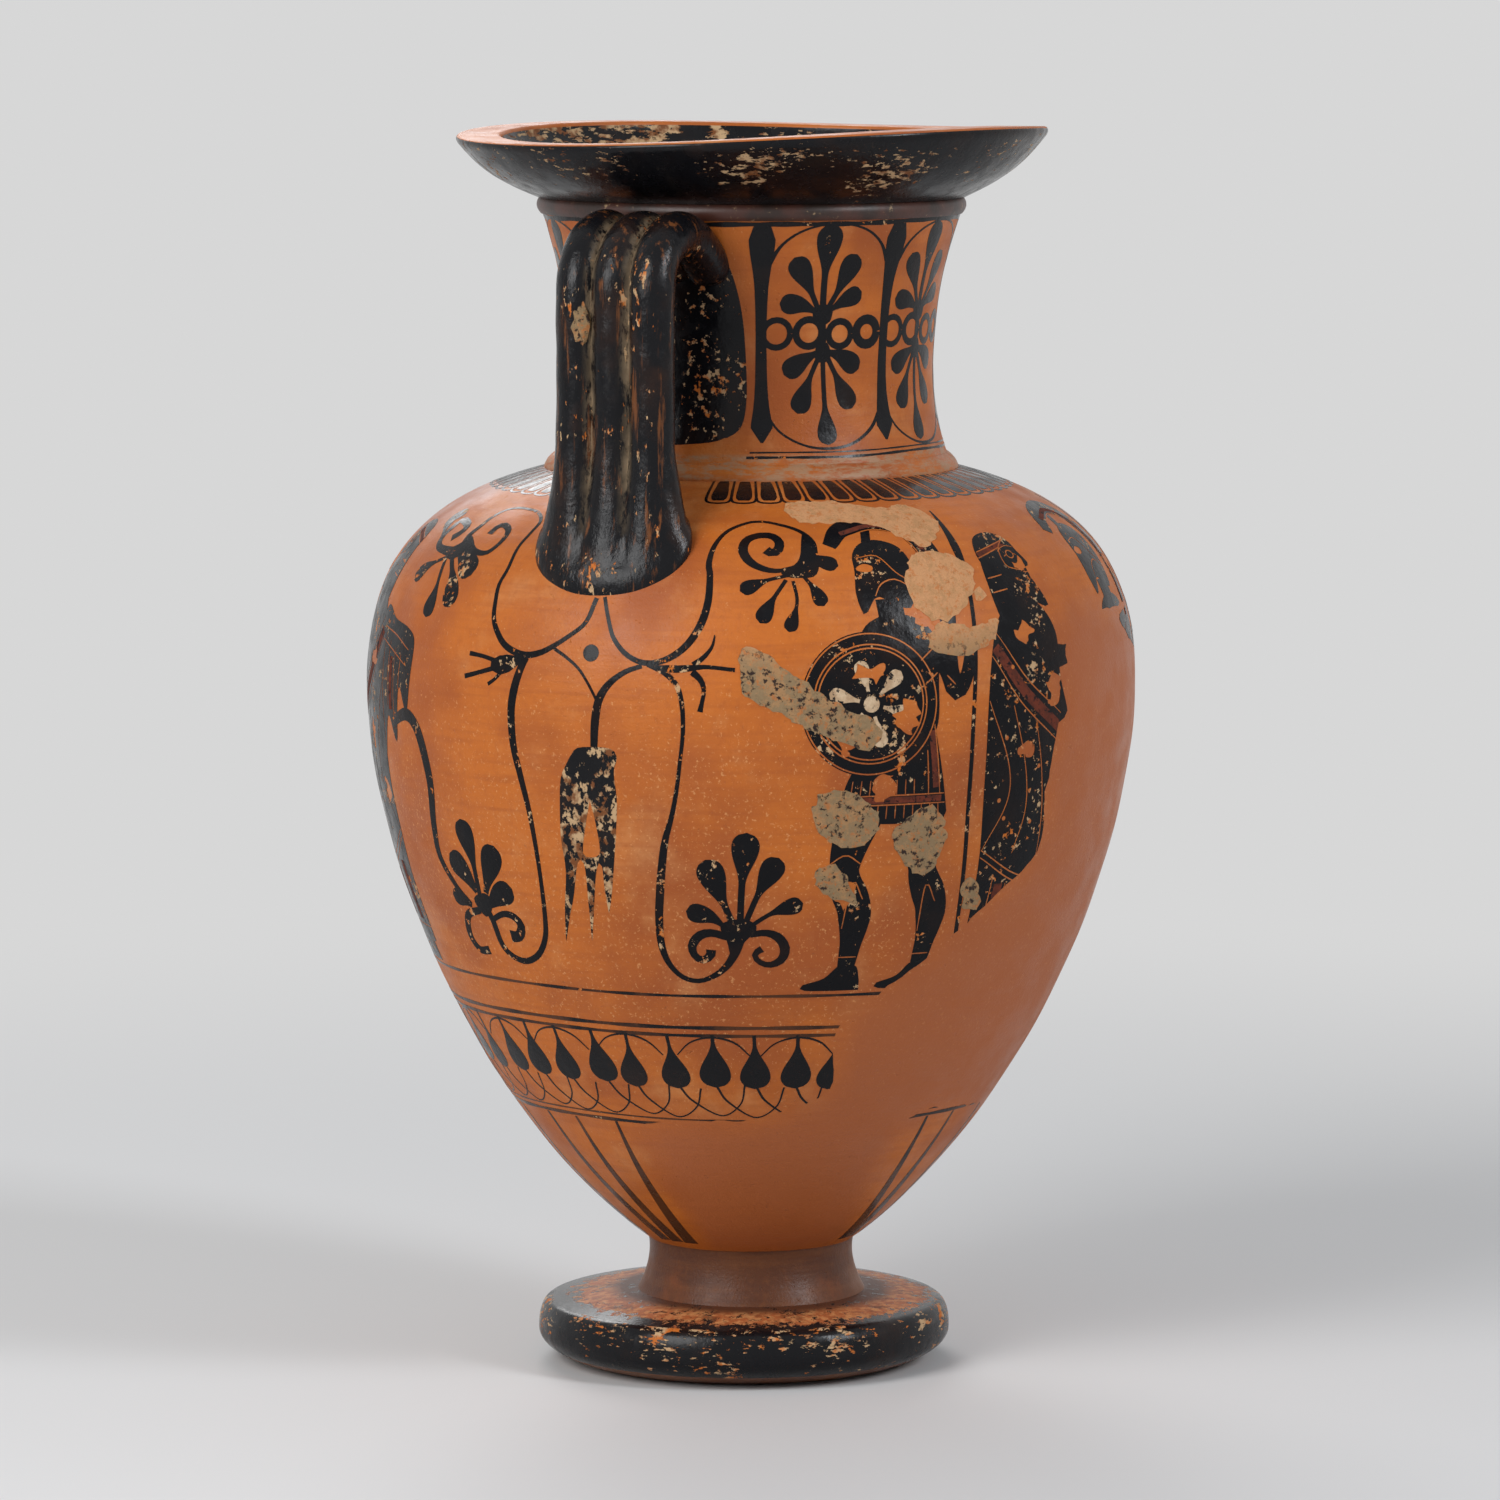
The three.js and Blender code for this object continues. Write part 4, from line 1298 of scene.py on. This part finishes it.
def mark_elder(man):
    """The lines and red bands of his head and his cloak."""
    draw_face(man, 0, 131)
    man.incise([(6.8, 148), (1.6, 143.6), (0.8, 137.4), (4.4, 135.6), (8.4, 134.8)],
               [(-8.6, 143), (6.6, 147.4)], [(-9.2, 140.6), (2.0, 144.2)], [(-9.6, 133), (-3, 134)],
               [(-9.6, 128), (-3, 129)])
    man.band([(-8.8, 141.8), (5.2, 146.0)], 2.0)
    man.incise([(-13, 115), (-2, 100), (14, 88)], [(-16, 108), (-4, 92), (17, 76)],
               [(-18, 94), (-8, 66), (-16, 46)], [(-8, 92), (0, 62), (-3, 44)],
               [(2, 86), (8, 58), (9, 38)], [(12, 80), (16, 58), (19, 46)])
    man.incise([(-16.4, 46), (0, 37), (20, 32)], [(-16.2, 43.6), (0, 34.6), (20, 29.6)],
               [(-14.6, 12), (18, 12)], [(-9, 36), (-9, 13)], [(-3, 34), (-3, 13)], [(4, 31), (4.6, 13)],
               [(11, 29), (12, 13)])
    man.dots([(-11, 82), (-5, 78), (4, 72), (12, 68), (-12, 62), (3, 54), (14, 48), (-9, 56), (8, 92),
              (-8, 104)])
    man.band([(-14.4, 110.6), (-3, 96), (15.6, 81.6)], 3.6)
    man.band([(-6, 34), (-6, 14)], 3.6)
    man.band([(7.6, 30), (8.2, 14)], 3.6)


def elder(turn, flip):
    """A bearded man wrapped in a long cloak, who leans on a staff."""
    man = Figure(turn, flip)
    fill_elder(man.slip)
    mark_elder(man)
    return man


def draped_arm(man):
    """The elder's other arm, held out behind him under the hanging end of his cloak."""
    man.slip.area([(-13, 118), (-25, 115), (-36, 113), (-42, 109), (-42, 98), (-39, 86), (-34, 94),
                   (-30, 76), (-24, 84), (-17, 68), (-15, 96)])
    man.incise([(-16, 112), (-28, 110), (-39, 106)], [(-16, 108), (-27, 105), (-38, 101)],
               [(-34, 104), (-33, 93)], [(-29, 106), (-29, 80)], [(-24, 108), (-24, 87)],
               [(-19, 110), (-19, 74)])
    man.band([(-26.5, 103), (-26.5, 86)], 2.4)
    return man


def fill_woman(pen):
    """The woman in slip, from her feet to the wreath."""
    foot(pen, -4, 7)
    foot(pen, 6, 7)
    pen.area([(-13, 6), (-13, 6), (-13, 34), (-10, 62), (-9, 78), (-13, 92), (-13, 108), (-8, 119),
              (0, 122), (8, 119), (12, 108), (11, 94), (8, 78), (11, 62), (15, 34), (17, 6), (17, 6),
              (2, 4)])
    pen.line([(0, 117), (0.4, 130)], [7, 6.4])
    pen.area(head_outline(0, 130))
    pen.area([(-6, 143), (-10.4, 138), (-11.6, 126), (-9, 114), (-4, 116), (-2, 128)])
    pen.line([(9, 111), (16, 98), (25, 110)], [8, 6.5, 5, 4])
    pen.line([(-9, 111), (-17, 98), (-10, 90)], [8, 6.5, 5, 4])
    pen.ring((31, 113), 5.6, 1.6)


def whiten_woman(white):
    """Her white face, arms and foot."""
    white.area([(6.4, 147.5), (8.4, 145), (9.2, 141.4), (9.2, 141.4), (11.6, 136.4), (11.2, 135.4),
                (9.4, 135.2), (9.9, 134.0), (9.1, 133.2), (9.7, 132.2), (8.6, 131.2), (8.7, 129.6),
                (6.4, 128.4), (3.0, 128.2), (3.4, 121), (-2.4, 121), (-2, 130), (1.6, 136),
                (2.4, 142)])
    white.line([(14, 102), (16.4, 98.6), (25, 110)], [5, 5, 4, 3.4])
    white.line([(-15, 102), (-17, 98), (-10.6, 90.4)], [5, 5, 4, 3])
    white.area([(0, 0.6), (12, 0.8), (18, 1.6), (12, 4.6), (6, 4.8), (1, 4)])
    white.ring((5.4, 140.2), 1.3, 0.4, True)
    white.line([(2.9, 142.8), (5.6, 143.6), (8.4, 142.8)], [0.4, 0.4], True)


def mark_woman(lady):
    """The lines of her hair and dress, and its red bands."""
    lady.incise([(-9, 143), (6, 147)], [(-10.2, 139.6), (2.2, 143)], [(-10.6, 132), (-3, 133)],
                [(-10.6, 126), (-4, 127)], [(-9, 79), (8.4, 79)], [(-9.4, 75.6), (8.4, 75.6)],
                [(-13, 96), (0, 91), (11, 97)], [(-8, 118), (-4, 104), (0, 92)],
                [(8, 118), (4, 104), (0, 92)], [(-13, 15), (17, 15)], [(-13, 11.6), (17, 11.6)],
                [(-2.6, 75), (-3.4, 16)], [(4, 75), (6.4, 16)], [(-11, 60), (-5, 50)],
                [(12, 58), (5, 48)])
    lady.incise([(-3, 66), (4.6, 66)], [(-3, 56), (4.8, 56)], [(-3.2, 46), (5.2, 46)],
                [(-3.2, 36), (5.4, 36)], [(-3.4, 26), (6, 26)])
    lady.dots([(-7, 66), (-8, 44), (-9, 32), (-9, 22), (9, 66), (10, 42), (11, 30), (12, 21), (-8, 108),
               (8, 108), (-5, 98), (5, 98), (0.8, 61), (1, 51), (1, 41), (1.2, 31)])
    lady.band([(-8.6, 77.3), (8, 77.3)], 2.6)
    lady.band([(-12, 13.3), (16, 13.3)], 2.4)


def woman(turn, flip):
    """A woman in a belted dress, who holds out a wreath."""
    lady = Figure(turn, flip)
    fill_woman(lady.slip)
    whiten_woman(lady.white)
    mark_woman(lady)
    return lady


SHIELD = (9, 95)
SHIELD_RADIUS = 22.0


def fill_warrior(pen):
    """The warrior in slip, from his feet to his spear."""
    foot(pen, -14)
    foot(pen, 10)
    leg = (14, 16, 15, 12, 9.4, 11.4, 10.6, 7, 5.4)
    pen.line([(-5, 76), (-10, 58), (-11, 41), (-16, 27), (-14, 8)], leg)
    pen.line([(6, 76), (12, 58), (15, 41), (10, 27), (10.4, 8)], leg)
    pen.area([(-12, 90), (-12, 90), (-16, 70), (-18, 59), (-18, 59), (-6, 57), (6, 57), (18, 59),
              (18, 59), (15, 70), (12, 90), (12, 90)])
    pen.area([(-11, 84), (-14, 102), (-13, 116), (-6, 122), (5, 122), (12, 114), (12, 88)])
    pen.disc(SHIELD, SHIELD_RADIUS + 0.6, sides=64)
    pen.line([(0, 118), (0.6, 128)], [9, 8.6])
    pen.area([(-7.6, 126), (-9.6, 134), (-9.8, 141), (-7, 147.4), (-0.4, 150.4), (5.4, 148.6), (8.8, 144),
              (9.6, 138), (10.8, 130), (9.8, 124), (8.4, 123.4), (4.4, 128.6), (0, 127), (-5, 124.6)])
    pen.line([(15, 148), (9, 155.6), (-2, 159), (-12, 155), (-17.4, 144), (-19, 128), (-18.6, 112),
              (-20.4, 100)], [4.6, 7.4, 8.2, 8.2, 7.6, 6.6, 5.4, 2.4])
    pen.line([(3, 148), (1, 156)], [3, 3])
    pen.line([(-9, 114), (-17, 106), (-20, 98), (-24, 102), (-26, 109)], [9.6, 8, 7, 6, 4.8, 4.2])
    pen.line([(-26.4, 0), (-26.2, 80), (-26, 164)], [1.3, 1.5, 1.5, 1.5, 1.5, 1.5, 1.5, 1.5, 3.2, 0.5])


def draw_shield(man):
    """The incised rim of the shield, and the white flower on it."""
    for inwards in (0, 3.4, 4.6):
        man.slip.ring(SHIELD, SHIELD_RADIUS - inwards, 0.5, True)
    man.white.disc(SHIELD, 2.6)
    for step in range(6):
        spoke = math.radians(60 * step + 15)
        ends = [(SHIELD[0] + reach * math.cos(spoke),
                 SHIELD[1] + reach * math.sin(spoke)) for reach in (4, 14)]
        man.white.line(ends, club(4.8), step=0.7)


def mark_warrior(man):
    """The opening of the helmet, the incised lines and the red bands."""
    opening = [(3.4, 139.6), (6, 140.6), (8.6, 139.4), (8.8, 138.2), (6, 137.4), (3.8, 138)]
    man.slip.area(opening, True, 0.8)
    man.incise([(-9.2, 133), (-4, 137), (1, 143.6), (7.6, 143)],
               [(-8.8, 131), (-3, 134.6), (2, 133), (4.6, 129)],
               [(14, 146), (7, 152.4), (-2, 155.4), (-10, 151.6), (-14.4, 142), (-15.8, 128),
                (-15.8, 113)], [(-17, 63), (17, 63)], [(-16.6, 66), (16.4, 66)])
    man.incise(*[[(x, 58.5), (x * 0.97, 63)] for x in range(-15, 17, 3)], width=0.4)
    man.incise(*[[(x, 66), (x * 0.97, 71)] for x in range(-6, 16, 3)], width=0.4)
    man.incise([(-15, 66), (-12.4, 88)], [(-11, 66), (-10, 80)])
    man.incise([(-15.6, 44), (-11, 47), (-6, 44)], [(-17, 30), (-13, 36), (-12, 20)],
               [(-17, 12), (-11, 12)], [(10, 44), (15, 47), (20, 44)], [(8, 32), (12, 38), (13.6, 22)],
               [(7.6, 12), (13.6, 12)], [(-13, 112), (-8, 108)], [(-13.6, 104), (-10, 101)],
               [(-17, 103), (-20, 100)])
    man.band([(10, 153.6), (-2, 157.4), (-11.6, 153), (-16.4, 143), (-17.6, 128), (-17.2, 114)], 1.8)
    man.band([(-15.6, 64.5), (15.4, 64.5)], 2.0)
    man.band([(-13.6, 68), (-11.4, 86)], 2.2)


def warrior(turn, flip):
    """A warrior at ease, with his round shield before him and his spear upright."""
    man = Figure(turn, flip)
    fill_warrior(man.slip)
    draw_shield(man)
    mark_warrior(man)
    return man


def loss(turn, height, wide, high):
    """The ragged outline of a spot where the slip is lost, in flat places."""
    pen = Pen(BODY, turn, height)
    turns = np.linspace(0, TAU, 44, endpoint=False)
    return ragged(BODY.flat(pen.places(np.stack([wide * np.cos(turns), high * np.sin(turns)], 1))), 2.2)


# Outlines on the view of the plaster fills of old repairs
FILLS = (
    ((785, 504), (830, 502), (880, 508), (905, 505), (935, 520), (937, 535), (925, 545), (905, 540),
     (880, 527), (850, 523), (800, 522)),
    ((912, 556), (935, 552), (960, 560), (974, 572), (970, 598), (950, 620), (925, 617), (912, 600),
     (905, 578)),
    ((974, 590), (980, 587), (986, 594), (981, 601), (975, 599)),
    ((933, 628), (950, 622), (975, 628), (998, 618), (994, 640), (975, 652), (945, 655), (930, 645)),
    ((742, 650), (765, 655), (800, 680), (840, 705), (875, 722), (880, 742), (862, 750), (830, 738),
     (795, 722), (760, 705), (742, 690)),
    ((815, 800), (835, 790), (858, 797), (878, 812), (875, 835), (855, 848), (830, 842), (815, 825)),
    ((895, 830), (915, 812), (935, 805), (945, 825), (942, 848), (925, 874), (908, 868), (895, 850)),
    ((815, 872), (835, 866), (850, 885), (858, 905), (840, 900), (820, 890)),
    ((962, 882), (975, 880), (980, 900), (975, 910), (964, 905)))
# Turn and height of each spot where the slip of the pictures has flaked off, its half width and height
FLAKES = (
    (222.0, 236, 5.0, 3.0), (227.5, 222, 3.6, 5.2), (231.0, 252, 3.6, 2.4), (218.0, 214, 2.4, 4.0),
    (224.0, 200, 4.0, 4.4), (219.5, 166, 3.0, 4.4), (249.0, 246, 4.4, 2.8), (254.5, 228, 3.4, 4.6),
    (248.5, 209, 4.0, 2.2), (256.0, 192, 2.6, 4.8), (253.0, 266, 3.2, 2.6), (263.0, 254, 6.5, 17),
    (287.0, 262, 2.4, 3.6), (116.0, 256, 3.0, 3.4), (128.0, 233, 4.2, 3.0), (126.0, 208, 2.6, 4.8),
    (97.0, 180, 3.0, 3.4), (85.0, 205, 2.0, 3.0), (56.0, 215, 3.6, 4.2), (131.0, 190, 3.0, 4.0))


def fills():
    return [ragged(smooth_line(BODY.flat(BODY.seen(pixels)), 1.2, True)) for pixels in FILLS]


def make_pictures(name, figures):
    losses = [RESTORED] + [loss(*spot) for spot in FLAKES] + fills()
    for layer, finish, slot, lift in (
            ("slip", BLACK_FIGURES, "black_slip", PAINT_LIFT), ("red", ADDED_RED, "brown_slip", RED_LIFT),
            ("white", ADDED_WHITE, "bare_clay", WHITE_LIFT)):
        shapes, cuts = gathered([getattr(figure, layer) for figure in figures])
        if layer == "red":
            cuts = cuts + gathered([figure.slip for figure in figures])[1]
        painted(f"paint_figures_{name}_{layer}", BODY, shapes, cuts + losses, finish, lift)


def make_fills():
    painted("plaster_fills", BODY, fills(), [RESTORED], PLASTER, FILL_LIFT)


# A lump of old mortar on the outer roll of the left handle: its place and its half sizes
MORTAR_PLACE = (-HANDLE_REACH - 5.4, 9.6, 343.0)
MORTAR_HALF = (2.2, 3.2, 6.5)


def mortar_points(rows, sides):
    centre = np.array(MORTAR_PLACE)
    points = []
    for row in range(1, rows):
        slope = math.pi * row / rows
        for side in range(sides):
            turn = TAU * side / sides
            out = Vector((math.sin(slope) * math.cos(turn), math.sin(slope) * math.sin(turn),
                          math.cos(slope)))
            swell = 1 + 0.45 * noise.noise(out * 2.2)
            points.append(centre + swell * np.array(out) * MORTAR_HALF)
    pole = (0, 0, MORTAR_HALF[2])
    return points + [centre + pole, centre - pole]


def make_mortar():
    rows, sides = 9, 18
    points = mortar_points(rows, sides)
    top, bottom = len(points) - 2, len(points) - 1
    faces = []
    for k in range(sides):
        after = (k + 1) % sides
        faces.append([top, k, after])
        faces.append([bottom, bottom - 1 - sides + after, bottom - 1 - sides + k])
        for first in range(0, (rows - 2) * sides, sides):
            faces.append([first + k, first + sides + k, first + sides + after, first + after])
    piece("mortar_lump", MM * np.array(points), faces, [PLASTER])


make_body()
make_neck()
make_mouth()
make_foot()
make_handle("handle_right_dressed", "right", RIGHT_HANDLE)
make_handle("handle_left_dressed", "left", LEFT_HANDLE)
for side_name, side_turn in (("front", FRONT_SIDE), ("back", BACK_SIDE)):
    make_neck_ornament(side_name, side_turn)
    make_tongues(side_name, side_turn)
for side_name, side_turn in (("left", LEFT_HANDLE), ("right", RIGHT_HANDLE)):
    make_neck_panel(side_name, side_turn)
    make_tendrils(side_name, side_turn - LEFT_HANDLE)
make_neck_lines()
make_bands()
make_buds()
make_rays()
make_pictures("front", [warrior(226, -1), elder(249.5, 1), warrior(277, -1), woman(307, -1)])
make_pictures("back", [draped_arm(elder(125, -1)), warrior(94.5, 1), woman(61, 1)])
make_fills()
make_mortar()


# Camera, floor and lights

BACKDROP = (0.68, 0.68, 0.68, 1)
SKY = (0.22, 0.225, 0.235, 1)
FLOOR_NEAR = 0.35
FLOOR_FAR = 1.1


def aim(thing, place, target):
    thing.location = place
    thing.rotation_euler = (Vector(target) - Vector(place)).to_track_quat("-Z", "Y").to_euler()


def area_light(name, place, target, size, power, colour=(1, 1, 1)):
    lamp = bpy.data.lights.new(name, "AREA")
    lamp.shape = "RECTANGLE"
    lamp.size = size[0]
    lamp.size_y = size[1]
    lamp.energy = power
    lamp.color = colour
    aim(added(name, lamp), place, target)


def make_floor():
    """A pale floor that takes the shadow, and far off turns into the plain backdrop."""
    mesh = bpy.data.meshes.new("floor")
    reach = 8.0
    mesh.from_pydata([(-reach, -reach, 0), (reach, -reach, 0), (reach, reach, 0), (-reach, reach, 0)],
                     [], [(0, 1, 2, 3)])
    f = Finish("floor")
    distance = f.node("ShaderNodeVectorMath", {0: f.place}, operation="LENGTH").outputs["Value"]
    backdrop = f.node("ShaderNodeEmission", {"Color": BACKDROP, "Strength": 1.0})
    far = f.times(f.ramp(distance, FLOOR_NEAR, FLOOR_FAR), f.backdrop_seen())
    mixed = f.node("ShaderNodeMixShader", {0: far, 1: f.surface.outputs[0], 2: backdrop.outputs[0]})
    f.feed(f.tree.nodes["Material Output"].inputs["Surface"], mixed.outputs[0])
    f.surface.inputs["Base Color"].default_value = BACKDROP
    f.surface.inputs["Roughness"].default_value = 0.7
    mesh.materials.append(f.material)
    floor = added("floor", mesh)


def make_world():
    """A pale backdrop for the camera, and a dimmer sky that lights the jar from all sides."""
    world = bpy.data.worlds.new("studio")
    nodes = Nodes(world)
    background = nodes.tree.nodes["Background"]
    nodes.feed(background.inputs["Color"], nodes.mix(nodes.backdrop_seen(), SKY, BACKDROP))
    background.inputs["Strength"].default_value = 1.0
    bpy.context.scene.world = world


def make_camera():
    data = bpy.data.cameras.new("camera")
    data.lens = CAMERA_LENS
    data.sensor_width = CAMERA_SENSOR
    camera = added("camera", data)
    camera.location = CAMERA_PLACE
    camera.rotation_euler = (math.radians(CAMERA_TILT), 0, math.radians(CAMERA_TURN))
    bpy.context.scene.camera = camera


make_floor()
make_world()
make_camera()
area_light("key_light", (-1.6, 0.5, 1.1), (0, 0, 0.22), (0.9, 1.2), 26)
area_light("side_light", (-0.2, -1.9, 1.3), (0, 0, 0.25), (0.5, 0.8), 22, (0.93, 0.96, 1))
area_light("back_light", (1.6, 1.2, 1.4), (0, 0, 0.25), (1.0, 1.0), 14)
bpy.context.scene.view_settings.view_transform = "Standard"
